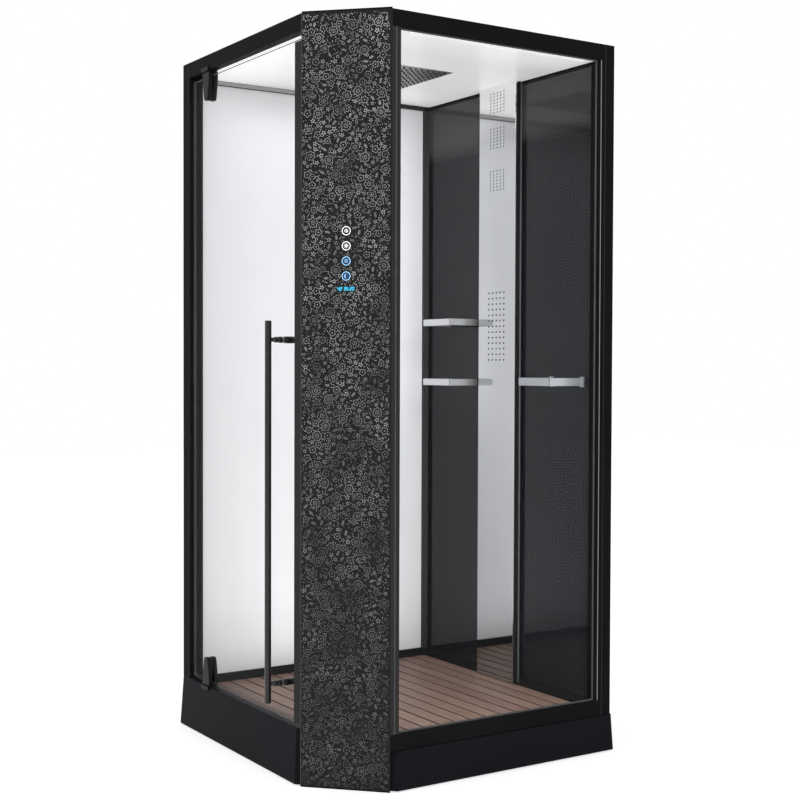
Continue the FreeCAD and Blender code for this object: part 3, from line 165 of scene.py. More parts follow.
def noise(tree, place, scale, stretch=(1, 1, 1), detail=4.0, roughness=0.5):
    spot = node(tree, "Mapping", Vector=place, Scale=stretch).outputs[0]
    return node(tree, "TexNoise", Vector=spot, Scale=scale, Detail=detail, Roughness=roughness).outputs["Fac"]


def relief(tree, height, strength, distance=0.0002):
    return node(tree, "Bump", Height=height, Strength=strength, Distance=distance).outputs[0]


def start_material(name):
    """A material, its node tree, and the place on the surface that its textures follow."""
    material = bpy.data.materials.new(name)
    material.use_nodes = True
    tree = material.node_tree
    tree.nodes.clear()
    return material, tree, node(tree, "TexCoord").outputs["Object"]


def principled(tree, colour, roughness, **sockets):
    return node(tree, "BsdfPrincipled", Base_Color=colour, Roughness=roughness, **sockets).outputs[0]


def mixed_shader(tree, share, first, second):
    return node(tree, "MixShader", i0=share, i1=first, i2=second).outputs[0]


def shown(material, surface):
    """The material, ended with the surface that it shows."""
    node(material.node_tree, "OutputMaterial", Surface=surface)
    return material


# ---------------------------------------------------------------- materials


def finish(name, dark, light, rough, patches=6.0, stretch=(1, 1, 1), bump=0.05, grain=900.0, **sockets):
    """A surface whose colour drifts in soft patches, with fine grain in its roughness and relief."""
    material, tree, place = start_material(name)
    soft = noise(tree, place, patches, stretch)
    fine = noise(tree, place, grain, detail=2.0)
    gloss = calc(tree, "ADD", spread(tree, soft, *rough), spread(tree, fine, -0.02, 0.02))
    return shown(material, principled(tree, tones(tree, soft, dark, light), gloss,
                                      Normal=relief(tree, fine, bump), **sockets))


def brushed(name, dark, light, rough, stretch, metallic=1.0):
    """Metal with fine lines along one direction."""
    material, tree, place = start_material(name)
    lines = noise(tree, place, 60.0, stretch, detail=5.0, roughness=0.7)
    soft = noise(tree, place, 8.0)
    gloss = calc(tree, "ADD", spread(tree, lines, *rough), spread(tree, soft, -0.03, 0.03))
    colour = tones(tree, lines, dark, light, start=0.25, end=0.75)
    return shown(material, principled(tree, colour, gloss, Normal=relief(tree, lines, 0.12),
                                      Metallic=metallic))


def glow(name, dim, bright, strength):
    """A lit surface behind a diffuser: its light varies a little from spot to spot."""
    material, tree, place = start_material(name)
    cells = noise(tree, place, 160.0, detail=2.0)
    colour = tones(tree, cells, dim, bright)
    return shown(material, principled(tree, colour, spread(tree, cells, 0.3, 0.45), Emission_Color=colour,
                                      Emission_Strength=strength))


def glass(name, tint, edge_tints, face_axis, least_mirror, slope):
    """A pane: it lets light straight through, mirrors more at a slant, and is greener along its cut edges."""
    material, tree, place = start_material(name)
    mirroring = spread(tree, calc(tree, "POWER", slant(tree), slope), least_mirror, 1.0, 0.0, 1.0)
    haze = tones(tree, noise(tree, place, 5.0), tint, tuple(min(1, c * 1.015) for c in tint))
    clear = node(tree, "BsdfTransparent", Color=haze).outputs[0]
    wave = noise(tree, place, 3.0, detail=1.0)
    sheen = node(tree, "BsdfAnisotropic", Roughness=0.015, Normal=relief(tree, wave, 0.02, 0.002)).outputs[0]
    pane = mixed_shader(tree, mirroring, clear, sheen)
    is_edge = calc(tree, "LESS_THAN", calc(tree, "ABSOLUTE", normal_along(tree, face_axis)), EDGE_NORMAL)
    cut = noise(tree, place, 400.0, detail=2.0)
    rim = principled(tree, tones(tree, cut, *edge_tints), spread(tree, cut, 0.2, 0.35))
    return shown(material, mixed_shader(tree, is_edge, pane, rim))


def wood():
    """Oiled composite boards that run along X; each board has its own shade and its own grain, and painted
    shade darkens their sides and their edges along the gaps.
    """
    material, tree, place = start_material("deck_wood")
    first = DECK_EDGE - BOARD_GAP / 2
    across = spread(tree, along(tree, place, 1), 0.0, BOARDS, first, first + BOARD_PITCH * BOARDS)
    chance = node(tree, "TexWhiteNoise", {"noise_dimensions": "1D"}, W=calc(tree, "FLOOR", across))
    shift = node(tree, "VectorMath", {"operation": "MULTIPLY"}, i0=chance.outputs["Color"],
                 i1=(3.0, 3.0, 3.0)).outputs[0]
    moved = node(tree, "VectorMath", {"operation": "ADD"}, i0=place, i1=shift).outputs[0]
    grain = noise(tree, moved, 30.0, (0.5, 9, 9), detail=6.0, roughness=0.6)
    fine = noise(tree, moved, 120.0, (0.25, 6, 6), roughness=0.65)
    fleck = noise(tree, moved, 26.0, (0.4, 2.2, 2.2), detail=3.0)
    tone = tones(tree, grain, (0.150, 0.086, 0.066), (0.245, 0.155, 0.122), (0.335, 0.225, 0.180),
                 start=0.25, end=0.75)
    tone = mixed(tree, 0.55, tone, tones(tree, fine, 0.62, 1.0, end=0.62), "MULTIPLY")
    tone = mixed(tree, 0.4, tone, tones(tree, fleck, 0.55, 1.0, start=0.22, end=0.42), "MULTIPLY")
    # Painted shade: rim darkens each board towards the gaps beside it, and depth darkens its sides below the
    # top.
    rim = spread(tree, calc(tree, "PINGPONG", across, 0.5), 0.30, 1.0, 0.045, 0.085)
    depth = spread(tree, along(tree, place, 2), 0.10, 1.0, *BOARD_TOP)
    own_shade = spread(tree, chance.outputs["Value"], 0.78, 1.02, 0.0, 1.0)
    own_hue = spread(tree, chance.outputs["Value"], 0.493, 0.507, 0.0, 1.0)
    shade = calc(tree, "MULTIPLY", calc(tree, "MULTIPLY", depth, rim), own_shade)
    colour = node(tree, "HueSaturation", Hue=own_hue, Value=shade, Color=tone).outputs[0]
    height = calc(tree, "ADD", grain, calc(tree, "MULTIPLY", fine, 0.6))
    return shown(material, principled(tree, colour, spread(tree, fine, 0.42, 0.6), Specular_IOR_Level=0.3,
                                      Normal=relief(tree, height, 0.35, 0.0006)))


def lit_ceiling():
    """White lacquer whose underside glows softly with painted light, most where the light strips lie against
    it.
    """
    material, tree, place = start_material("white_ceiling")
    # Painted light: emission on the underside stands in for the light strips' light and the light that
    # reaches it from below.
    from_front = spread(tree, along(tree, place, 1), STRIP_GLOW, 0.0, *GLOW_FROM_FRONT_Y, "SMOOTHSTEP")
    from_right = spread(tree, along(tree, place, 0), STRIP_GLOW, 0.0, *GLOW_FROM_RIGHT_X, "SMOOTHSTEP")
    cloud = noise(tree, place, 2.5)
    level = calc(tree, "ADD", calc(tree, "ADD", from_front, from_right), spread(tree, cloud, 0.18, 0.22))
    is_below = calc(tree, "LESS_THAN", normal_along(tree, 2), UNDERSIDE_NORMAL)
    fine = noise(tree, place, 700.0, detail=2.0)
    return shown(material, principled(
        tree, tones(tree, cloud, 0.80, (0.84, 0.84, 0.835)), spread(tree, fine, 0.32, 0.4),
        Normal=relief(tree, fine, 0.05), Emission_Color=(1, 0.995, 0.98, 1),
        Emission_Strength=calc(tree, "MULTIPLY", level, is_below)))


def clear_vinyl():
    """Soft seal strip that lets most light through and clouds a little along its length."""
    material, tree, place = start_material("clear_seal")
    cloud = noise(tree, place, 40.0, (1, 1, 0.15))
    share = calc(tree, "MULTIPLY_ADD", slant(tree), 0.06, spread(tree, cloud, 0.03, 0.07))
    haze = tones(tree, cloud, (0.95, 0.96, 0.955), (0.98, 0.985, 0.98))
    clear = node(tree, "BsdfTransparent", Color=haze).outputs[0]
    body = principled(tree, tones(tree, cloud, 0.10, 0.16), spread(tree, cloud, 0.25, 0.4),
                      Specular_IOR_Level=0.2)
    return shown(material, mixed_shader(tree, share, clear, body))


def ink():
    """Silver print: it thins out in patches, and painted shade darkens it towards the foot of the column."""
    material, tree, place = start_material("silver_ink")
    tone = tones(tree, noise(tree, place, 14.0, detail=2.0), 0.33, 0.95, start=0.32, end=0.66)
    # Painted shade: the print darkens towards the column's foot.
    painted_shade = spread(tree, along(tree, place, 2), 0.42, 1.0, *PRINT_PAINTED_SHADE)
    fine = noise(tree, place, 1500.0, detail=2.0)
    return shown(material, principled(tree, dimmed(tree, tone, painted_shade), spread(tree, fine, 0.5, 0.65),
                                      Normal=relief(tree, fine, 0.1), Specular_IOR_Level=0.05))


def cove():
    """Satin strip coloured with painted light and shade: pale where the light strips reach it, dark towards
    the back corner.
    """
    material, tree, place = start_material("cove")
    lines = noise(tree, place, 60.0, (14, 0.3, 14))
    # Painted shade: the strip darkens towards the back corner.
    painted_shade = spread(tree, along(tree, place, 1), 1.0, 0.1, *COVE_PAINTED_SHADE_Y)
    colour = dimmed(tree, tones(tree, lines, 0.33, (0.40, 0.40, 0.41)), painted_shade)
    return shown(material, principled(tree, colour, spread(tree, lines, 0.4, 0.55), Specular_IOR_Level=0.1))


def mirror():
    """Silvered glass with a faint ripple, with a painted reflection that brightens it over the line near the
    ceiling and painted shade that dims it at its foot.
    """
    material, tree, place = start_material("mirror_glass")
    height = along(tree, place, 2)
    soft = noise(tree, place, 2.0)
    # Painted shade dims the lower mirror towards its foot.
    low = dimmed(tree, tones(tree, soft, (0.575, 0.58, 0.595), (0.60, 0.605, 0.62)),
                 spread(tree, height, 0.72, 1.0, *MIRROR_PAINTED_SHADE, "SMOOTHSTEP"))
    high = tones(tree, soft, (0.86, 0.865, 0.87), (0.89, 0.89, 0.895))
    # Painted reflection: above the line near the ceiling the mirror turns brighter.
    colour = mixed(tree, spread(tree, height, 0.0, 1.0, *PAINTED_REFLECTION_LINE), low, high)
    ripple = noise(tree, place, 25.0, detail=2.0)
    return shown(material, principled(tree, colour, spread(tree, soft, 0.0, 0.03), Metallic=1.0,
                                      Normal=relief(tree, ripple, 0.004)))


def panel_glass():
    """Dark back-painted glass, a shade greyer with painted light in the band that the light strips wash."""
    material, tree, place = start_material("dark_glass")
    soft = noise(tree, place, 1.5)
    deep = tones(tree, soft, (0.0045, 0.0052, 0.0070), (0.0060, 0.0068, 0.0090))
    # Painted light: a greyer copy of the dark glass for the band near the ceiling.
    painted_wash = tones(tree, soft, (0.042, 0.043, 0.046), (0.052, 0.053, 0.056))
    rise = spread(tree, along(tree, place, 2), 0.0, 1.0, *PAINTED_WASH_BAND, "SMOOTHSTEP")
    fine = noise(tree, place, 60.0, detail=2.0)
    return shown(material, principled(tree, mixed(tree, rise, deep, painted_wash), spread(tree, soft, 0.02, 0.05),
                                      Normal=relief(tree, fine, 0.01), Specular_IOR_Level=0.21))


PROFILE = {"patches": 3.0, "stretch": (1, 1, 0.25), "bump": 0.09, "grain": 650.0, "Specular_IOR_Level": 0.01}
FITTING = {"dark": (0.010, 0.010, 0.0105), "light": (0.0145, 0.0145, 0.015), "patches": 20.0, "grain": 800.0}
FINISHES = {
    "tray_acrylic": dict(dark=(0.0125, 0.0124, 0.0160), light=(0.0160, 0.0156, 0.0205), rough=(0.26, 0.34),
                         patches=2.5, bump=0.04, grain=350.0, Specular_IOR_Level=0.015),
    "galvanised_steel": dict(dark=(0.34, 0.35, 0.36), light=(0.52, 0.53, 0.54), rough=(0.38, 0.55),
                             patches=45.0, grain=400.0, bump=0.12, Metallic=0.9),
    "waste_plastic": dict(dark=0.62, light=0.72, rough=(0.4, 0.5), bump=0.08),
    "black_frame": dict(dark=(0.0110, 0.0110, 0.0116), light=(0.0140, 0.0140, 0.0148), rough=(0.34, 0.42),
                        **PROFILE),
    "grey_profile": dict(dark=0.040, light=(0.049, 0.049, 0.050), rough=(0.34, 0.44), **PROFILE),
    "magnet_rubber": dict(dark=0.028, light=0.042, rough=(0.55, 0.68), bump=0.15),
    "white_panel": dict(dark=(0.80, 0.80, 0.828), light=(0.83, 0.83, 0.858), rough=(0.09, 0.14), patches=1.5,
                        bump=0.015, grain=120.0),
    "black_sheet": dict(dark=(0.0105, 0.0105, 0.0115), light=(0.0145, 0.0145, 0.0155), rough=(0.3, 0.4),
                        bump=0.08, Specular_IOR_Level=0.01),
    "nozzle_rubber": dict(dark=0.014, light=0.026, rough=(0.45, 0.6), patches=200.0, bump=0.2),
    "manifold_plastic": dict(dark=0.03, light=0.045, rough=(0.45, 0.6), bump=0.15),
    "black_fittings": dict(rough=(0.28, 0.38), bump=0.07, Specular_IOR_Level=0.08, **FITTING),
    "handle_black": dict(rough=(0.16, 0.24), bump=0.05, Specular_IOR_Level=0.45, **FITTING),
    "patterned_glass": dict(dark=(0.023, 0.023, 0.0235), light=(0.029, 0.029, 0.0295), rough=(0.16, 0.26),
                            patches=30.0, bump=0.03, grain=500.0, Specular_IOR_Level=0.06),
    "key_surface": dict(dark=(0.008, 0.008, 0.009), light=(0.013, 0.013, 0.015), rough=(0.1, 0.18),
                        patches=120.0, bump=0.03, Specular_IOR_Level=0.3),
    "display_surface": dict(dark=(0.004, 0.006, 0.008), light=(0.006, 0.009, 0.012), rough=(0.06, 0.12),
                            patches=90.0, bump=0.02, Specular_IOR_Level=0.3,
                            Emission_Color=(0.0, 0.30, 0.45, 1), Emission_Strength=0.12),
    "electronics_case": dict(dark=0.05, light=0.07, rough=(0.45, 0.6), bump=0.15),
    "outlet_plastic": dict(dark=0.03, light=0.045, rough=(0.4, 0.55), bump=0.12),
    "valve_brass": dict(dark=(0.50, 0.36, 0.14), light=(0.64, 0.48, 0.22), rough=(0.25, 0.42), patches=30.0,
                        bump=0.15, grain=500.0, Metallic=1.0),
    "speaker_plastic": dict(dark=0.02, light=0.03, rough=(0.5, 0.65), bump=0.2, grain=500.0),
    "grey_gasket": dict(dark=0.085, light=0.115, rough=(0.45, 0.6), patches=25.0, bump=0.12),
    "sealant": dict(dark=0.085, light=0.125, rough=(0.4, 0.55), patches=40.0, bump=0.1,
                    Specular_IOR_Level=0.1),
    "pale_bead": dict(dark=0.30, light=0.38, rough=(0.35, 0.5), patches=20.0, bump=0.08),
    "joint_black": dict(dark=0.0015, light=0.003, rough=(0.6, 0.75), bump=0.1, Specular_IOR_Level=0.01),
}
METALS = {
    "drain_steel": dict(dark=0.48, light=0.66, rough=(0.24, 0.36), stretch=(0.2, 12, 12)),
    "chrome_fittings": dict(dark=(0.51, 0.515, 0.53), light=(0.64, 0.645, 0.66), rough=(0.30, 0.42),
                            stretch=(0.3, 0.3, 14), metallic=0.7),
    "cool_metal": dict(dark=(0.33, 0.34, 0.37), light=(0.44, 0.45, 0.485), rough=(0.30, 0.42),
                       stretch=(0.3, 0.3, 14), metallic=0.7),
    "brushed_head": dict(dark=0.34, light=0.48, rough=(0.3, 0.42), stretch=(0.25, 10, 10)),
    "pipe_steel": dict(dark=0.5, light=0.66, rough=(0.22, 0.34), stretch=(6, 6, 0.5)),
    "tank_steel": dict(dark=0.5, light=0.68, rough=(0.24, 0.36), stretch=(10, 10, 0.4)),
    "plate_steel": dict(dark=0.55, light=0.70, rough=(0.2, 0.32), stretch=(10, 10, 0.4)),
}
PANES = {
    "clear_glass": dict(tint=(0.985, 0.99, 0.987), edge_tints=((0.13, 0.14, 0.137), (0.18, 0.195, 0.19)),
                        face_axis=1, least_mirror=0.0015, slope=9.0),
    "tinted_glass": dict(tint=(0.98, 0.985, 0.982), edge_tints=((0.06, 0.07, 0.066), (0.09, 0.10, 0.095)),
                         face_axis=0, least_mirror=0.003, slope=6.0),
}
LIGHTS = {
    "light_diffuser": dict(dim=(0.92, 0.92, 0.90), bright=(1.0, 1.0, 0.98), strength=0.55),
    "white_light": dict(dim=(0.85, 0.85, 0.90), bright=1.0, strength=1.0),
    "blue_light": dict(dim=(0.26, 0.56, 0.84), bright=(0.36, 0.68, 0.95), strength=0.9),
    "deep_blue": dict(dim=(0.001, 0.016, 0.06), bright=(0.002, 0.026, 0.09), strength=0.55),
    "cyan_light": dict(dim=(0.02, 0.55, 0.95), bright=(0.10, 0.72, 1.0), strength=1.1),
}
MATERIALS = {"deck_wood": wood(), "white_ceiling": lit_ceiling(), "clear_seal": clear_vinyl(),
             "silver_ink": ink(), "cove": cove(), "mirror_glass": mirror(), "dark_glass": panel_glass()}
for make, looks in ((finish, FINISHES), (brushed, METALS), (glass, PANES), (glow, LIGHTS)):
    for name, values in looks.items():
        MATERIALS[name] = make(name, **values)

# CAD nodes that look different from their slot.
OWN_LOOKS = {"fixed_glass": "tinted_glass", "fixed_glass_gasket": "grey_gasket",
             "glass_jamb": "grey_profile", "column_housing": "grey_profile",
             "door_edge_profile": "grey_profile", "towel_holder": "cool_metal"}

# Width of the eased edges in mm, by node or by slot.
BEVELS = {"deck_slats": 1.6, "tray_acrylic": 1.2, "black_fittings": 0.8}
USUAL_BEVEL = 0.5
SHARP = math.radians(40)

for part in frame["record"]["subparts"]:
    name, slot = part["node"], part["material_slot"]
    piece = frame["nodes"][name]
    piece.data.materials.clear()
    piece.data.materials.append(MATERIALS[OWN_LOOKS.get(name, slot)])
    weld = piece.modifiers.new("weld", "WELD")
    weld.merge_threshold = 1 / GRID
    bevel = piece.modifiers.new("bevel", "BEVEL")
    bevel.width = BEVELS.get(name, BEVELS.get(slot, USUAL_BEVEL)) * MM
    bevel.segments = 2
    bevel.limit_method = "ANGLE"
    bevel.angle_limit = SHARP
    bevel.use_clamp_overlap = True
    even = piece.modifiers.new("normals", "WEIGHTED_NORMAL")
    even.keep_sharp = False


# ---------------------------------------------------------------- mesh helpers, all in mm


def mm_box(name):
    """The low and the high corner of a CAD node."""
    return [corner * 1000 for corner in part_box(name)]


def add_piece(name, mesh_builder, material, body, replaced):
    mesh = bpy.data.meshes.new(name)
    shape = bmesh.new()
    mesh_builder(shape)
    bmesh.ops.recalc_face_normals(shape, faces=shape.faces)
    shape.to_mesh(mesh)
    shape.free()
    mesh.materials.append(material)
    piece = bpy.data.objects.new(name, mesh)
    bpy.context.scene.collection.objects.link(piece)
    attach(piece, body)
    if replaced:
        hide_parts(*replaced)


def turns(steps):
    """Equal angles once round."""
    return [2 * math.pi * k / steps for k in range(steps)]


def corners(shape, points):
    return [shape.verts.new(Vector(point) * MM) for point in points]


def band(shape, low, high):
    """Faces between two closed rows of corners."""
    for k in range(len(low)):
        following = (k + 1) % len(low)
        shape.faces.new((low[k], low[following], high[following], high[k]))


def lathe(shape, start, direction, profile, steps):
    """A turned solid: profile is (radius, distance along direction), from one tip to the other."""
    axis = Vector(direction).normalized()
    side = axis.orthogonal().normalized()
    other = axis.cross(side)
    rings = []
    for radius, distance in profile:
        middle = Vector(start) + axis * distance
        angles = turns(steps) if radius else [0]
        rings.append(corners(shape, [middle + (side * math.cos(a) + other * math.sin(a)) * radius
                                     for a in angles]))
    for low, high in zip(rings, rings[1:]):
        for k in range(steps):
            face = (low[k % len(low)], low[(k + 1) % len(low)],
                    high[(k + 1) % len(high)], high[k % len(high)])
            unique = list(dict.fromkeys(face))
            if len(unique) > 2:
                shape.faces.new(unique).smooth = True


def prism(shape, outline, low, high):
    """A standing strip: outline of (x, y), from height low to height high."""
    foot = corners(shape, [(x, y, low) for x, y in outline])
    head = corners(shape, [(x, y, high) for x, y in outline])
    shape.faces.new(foot[::-1])
    shape.faces.new(head)
    band(shape, foot, head)


def ridge(shape, points, width, height, closed):
    """A fine raised line on the column's front through points (u, z), with a roof-shaped section."""
    count = len(points)
    rows = []
    for k, (u, z) in enumerate(points):
        before = points[k - 1] if closed or k else points[k]
        after = points[(k + 1) % count] if closed or k < count - 1 else points[k]
        du, dz = after[0] - before[0], after[1] - before[1]
        length = math.hypot(du, dz) or 1.0
        nu, nz = -dz / length * width / 2, du / length * width / 2
        rows.append(corners(shape, (on_column(u + nu, 0.0, z + nz), on_column(u, -height, z),
                                    on_column(u - nu, 0.0, z - nz))))
    for k in range(count if closed else count - 1):
        row, following = rows[k], rows[(k + 1) % count]
        for a in range(3):
            b = (a + 1) % 3
            shape.faces.new((row[a], row[b], following[b], following[a]))
    if not closed:
        shape.faces.new(rows[0])
        shape.faces.new(rows[-1][::-1])


def turned(u, z, forward, aside, turn):
    """The point (forward, aside) of a figure that stands turned at (u, z)."""
    return (u + forward * math.cos(turn) - aside * math.sin(turn),
            z + forward * math.sin(turn) + aside * math.cos(turn))


def circle(u, z, radius, steps):
    return [(u + radius * math.cos(a), z + radius * math.sin(a)) for a in turns(steps)]


def arc(u, z, radius, start, sweep, steps, widen=1.0):
    """An open curve; its radius grows by the factor widen from start to end."""
    return [(u + radius * (1 + (widen - 1) * k / steps) * math.cos(start + sweep * k / steps),
             z + radius * (1 + (widen - 1) * k / steps) * math.sin(start + sweep * k / steps))
            for k in range(steps + 1)]


# ---------------------------------------------------------------- column pattern

# The touch keys' middles and the display's window; the print keeps clear of both.
KEY_Z = [1424 + 41.4 * k for k in range(4)]
KEY_CLEARANCE = 14.5
DISPLAY_HALF, DISPLAY_LOW, DISPLAY_HIGH = 25.5, 1382, 1396
DISPLAY_CLEARANCE = 1

# The edges of the print, and the least gap between two of its motifs.
PRINT_U = (-127.4, 124.6)
PRINT_Z = (6, 2144)
PRINT_GAP = 0.6

# How far the print stands proud of the glass.
FINE, MIDDLE, FULL = 0.14, 0.16, 0.18


def pattern(shape):
    """Outlined blossoms, rings, leaves and dots scattered edge to edge over the dark front."""
    chance = random.Random(4107)
    placed = {}
    cell = 32.0  # wider than the largest motif, so only the next cells can hold one that is too near

    def free(u, z, radius):
        if (u - radius < PRINT_U[0] or u + radius > PRINT_U[1]
                or z - radius < PRINT_Z[0] or z + radius > PRINT_Z[1]):
            return False
        if any(math.hypot(u, z - level) < radius + KEY_CLEARANCE for level in KEY_Z):
            return False
        if (abs(u) < DISPLAY_HALF + radius + DISPLAY_CLEARANCE
                and DISPLAY_LOW - radius - DISPLAY_CLEARANCE < z < DISPLAY_HIGH + radius + DISPLAY_CLEARANCE):
            return False
        column, row = int(u // cell), int(z // cell)
        for near_column in (column - 1, column, column + 1):
            for near_row in (row - 1, row, row + 1):
                for other_u, other_z, other_radius in placed.get((near_column, near_row), ()):
                    if math.hypot(u - other_u, z - other_z) < radius + other_radius + PRINT_GAP:
                        return False
        placed.setdefault((column, row), []).append((u, z, radius))
        return True

    def scatter(tries, low, high, draw):
        for _ in range(tries):
            radius = chance.uniform(low, high)
            u, z = chance.uniform(*PRINT_U), chance.uniform(PRINT_Z[0] - 2, PRINT_Z[1] + 2)
            if free(u, z, radius):
                draw(u, z, radius, chance.uniform(0, 2 * math.pi))

    def around(u, z, reach, count, turn):
        """Places on a circle about (u, z), each with its direction."""
        for k in range(count):
            a = turn + 2 * math.pi * k / count
            yield u + reach * math.cos(a), z + reach * math.sin(a), a

    def speck(u, z, length, width, turn, sides=7):
        """A small filled oval that points along turn and rises to its middle."""
        outline = [turned(u, z, length * math.cos(a), width * math.sin(a), turn) for a in turns(sides)]
        low = corners(shape, [on_column(side_u, 0.0, side_z) for side_u, side_z in outline])
        tip = shape.verts.new(on_column(u, -FINE, z) * MM)
        shape.faces.new(low[::-1])
        for k in range(sides):
            shape.faces.new((low[k], low[(k + 1) % sides], tip))

    def open_petals(u, z, reach, size, count, turn):
        """A flower of separate petal outlines, each an arc that opens towards the heart."""
        half_sweep = 1.75
        for petal_u, petal_z, a in around(u, z, reach, count, turn):
            petal = arc(petal_u, petal_z, size, a - half_sweep, 2 * half_sweep, 6)
            ridge(shape, petal, 1.0, FULL, False)

    def blossom(u, z, radius, turn):
        count = chance.choice((6, 7, 8))
        open_petals(u, z, radius * 0.74, radius * 0.26, count, turn)
        heart, dent = [], 0.2
        for a in turns(20):
            reach = radius * 0.42 * (1 - dent + dent * abs(math.cos(5 * a / 2)))
            heart.append((u + reach * math.cos(a + turn + 0.4), z + reach * math.sin(a + turn + 0.4)))
        ridge(shape, heart, 0.9, FULL, True)
        speck(u, z, 1.3, 1.3, 0)

    def rosette(u, z, radius, turn):
        open_petals(u, z, radius * 0.64, radius * 0.34, 5, turn)
        speck(u, z, 1.6, 1.6, 0)

    def small_blossom(u, z, radius, turn):
        for petal_u, petal_z, a in around(u, z, radius * 0.66, 5, turn):
            speck(petal_u, petal_z, radius * 0.32, radius * 0.22, a)
        speck(u, z, 0.8, 0.8, 0)

    def dot_blossom(u, z, radius, turn):
        for petal_u, petal_z, _ in around(u, z, radius * 0.72, 5, turn):
            speck(petal_u, petal_z, 1.2, 1.2, 0)

    def sprig(u, z, radius, turn):
        """A bent twig with leaflets in pairs."""
        start, sweep, steps = turn - 0.8, 1.6, 8
        stem = arc(u - radius * math.cos(turn), z - radius * math.sin(turn), radius, start, sweep, steps)
        ridge(shape, stem, 0.7, FINE, False)
        for k in range(1, steps, 2):
            stem_u, stem_z = stem[k]
            lean = start + sweep * k / steps
            for side in (-1, 1):
                speck(stem_u + side * 2.0 * math.cos(lean), stem_z + side * 2.0 * math.sin(lean),
                      1.5, 0.7, lean + side * 0.7)

    def leaf(u, z, radius, turn):
        points = []
        for a in turns(12):
            half_width = radius * 0.42 * math.sin(a) * (1 + 0.3 * math.cos(a))
            points.append(turned(u, z, radius * math.cos(a), half_width, turn))
        ridge(shape, points, 0.85, MIDDLE, True)

    def curl(u, z, radius, turn):
        ridge(shape, arc(u, z, radius, turn, 2.4, 7, 0.5), 0.8, FINE, False)

    def small_ring(u, z, radius, _):
        ridge(shape, circle(u, z, radius, 12), 0.95, FULL, True)

    def dot(u, z, radius, _):
        speck(u, z, radius, radius, 0, 6)

    scatter(150, 12.2, 14.6, blossom)
    scatter(420, 8.6, 10.6, rosette)
    scatter(500, 7.5, 9.5, sprig)
    scatter(1300, 5.6, 7.4, small_blossom)
    scatter(700, 5.0, 6.8, leaf)
    scatter(900, 4.2, 5.4, dot_blossom)
    scatter(1000, 4.0, 6.0, curl)
    scatter(900, 2.8, 3.8, small_ring)
    scatter(14000, 0.8, 1.6, dot)


# ---------------------------------------------------------------- keys and display

# The keys' and the display's fronts lie this far out of the patterned glass; marks stand on them.
KEY_FACE = -0.6
MARK, DISC, DIGIT = 0.25, 0.1, 0.2
KEY_RING = (12.4, 10.5)
DISC_RADIUS = 10.2


def slab(shape, outline, height):
    """A flat raised figure on a key or the display: outline of (u, z)."""
    low = corners(shape, [on_column(u, KEY_FACE, z) for u, z in outline])
    high = corners(shape, [on_column(u, KEY_FACE - height, z) for u, z in outline])
    shape.faces.new(low[::-1])
    shape.faces.new(high)
    band(shape, low, high)


def ring(shape, level, outer, inner, steps=48):
    """A flat raised ring on a key."""
    top = KEY_FACE - MARK
    loops = [corners(shape, [on_column(u, depth, z) for u, z in circle(0, level, radius, steps)])
             for radius, depth in ((outer, KEY_FACE), (outer, top), (inner, top), (inner, KEY_FACE))]
    for index, loop in enumerate(loops):
        band(shape, loop, loops[(index + 1) % len(loops)])


def key_marks(shape, levels, icons):
    for level, icon in zip(levels, icons):
        ring(shape, level, *KEY_RING)
        icon(shape, level)


def power_icon(shape, level):
    ring(shape, level, 5.0, 3.6, 24)
    slab(shape, [(-0.8, level - 2.4), (0.8, level - 2.4), (0.8, level + 2.4), (-0.8, level + 2.4)], MARK)


def lamp_icon(shape, level):
    slab(shape, circle(0, level, 3.6, 16), MARK)
    near, far, half = 4.5, 7.5, 0.55
    for a in turns(8):
        slab(shape, [turned(0, level, forward, aside, a) for forward, aside in (
            (near, -half), (far, -half), (far, half), (near, half))], MARK)


def steam_icon(shape, level):
    tall, half, steps = 10.0, 0.6, 12
    for shift in (-3.6, 0.0, 3.6):
        left, right = [], []
        for k in range(steps + 1):
            rise = -tall / 2 + tall * k / steps
            bend = 1.3 * math.sin(rise * 0.9)
            left.append((shift + bend - half, level + rise))
            right.append((shift + bend + half, level + rise))
        for k in range(steps):
            slab(shape, [left[k], right[k], right[k + 1], left[k + 1]], MARK)


def moon_icon(shape, level):
    outer_steps, inner_steps = 16, 12
    outer = arc(0, level, 5.4, math.radians(60), math.radians(240), outer_steps)
    inner = arc(2.2, level, 4.9, math.radians(276), math.radians(-192), inner_steps)
    nearest = [inner[inner_steps - round(k * inner_steps / outer_steps)] for k in range(outer_steps + 1)]
    for k in range(outer_steps):
        slab(shape, list(dict.fromkeys((outer[k], outer[k + 1], nearest[k + 1], nearest[k]))), MARK)


def white_marks(shape):
    key_marks(shape, KEY_Z[2:], (lamp_icon, power_icon))


def blue_marks(shape):
    key_marks(shape, KEY_Z[:2], (moon_icon, steam_icon))


def blue_discs(shape):
    for level in KEY_Z[:2]:
        slab(shape, circle(0, level, DISC_RADIUS, 40), DISC)


STROKES = {"0": "abcdef", "2": "abged", "3": "abgcd", "4": "fgbc", "5": "afgcd"}


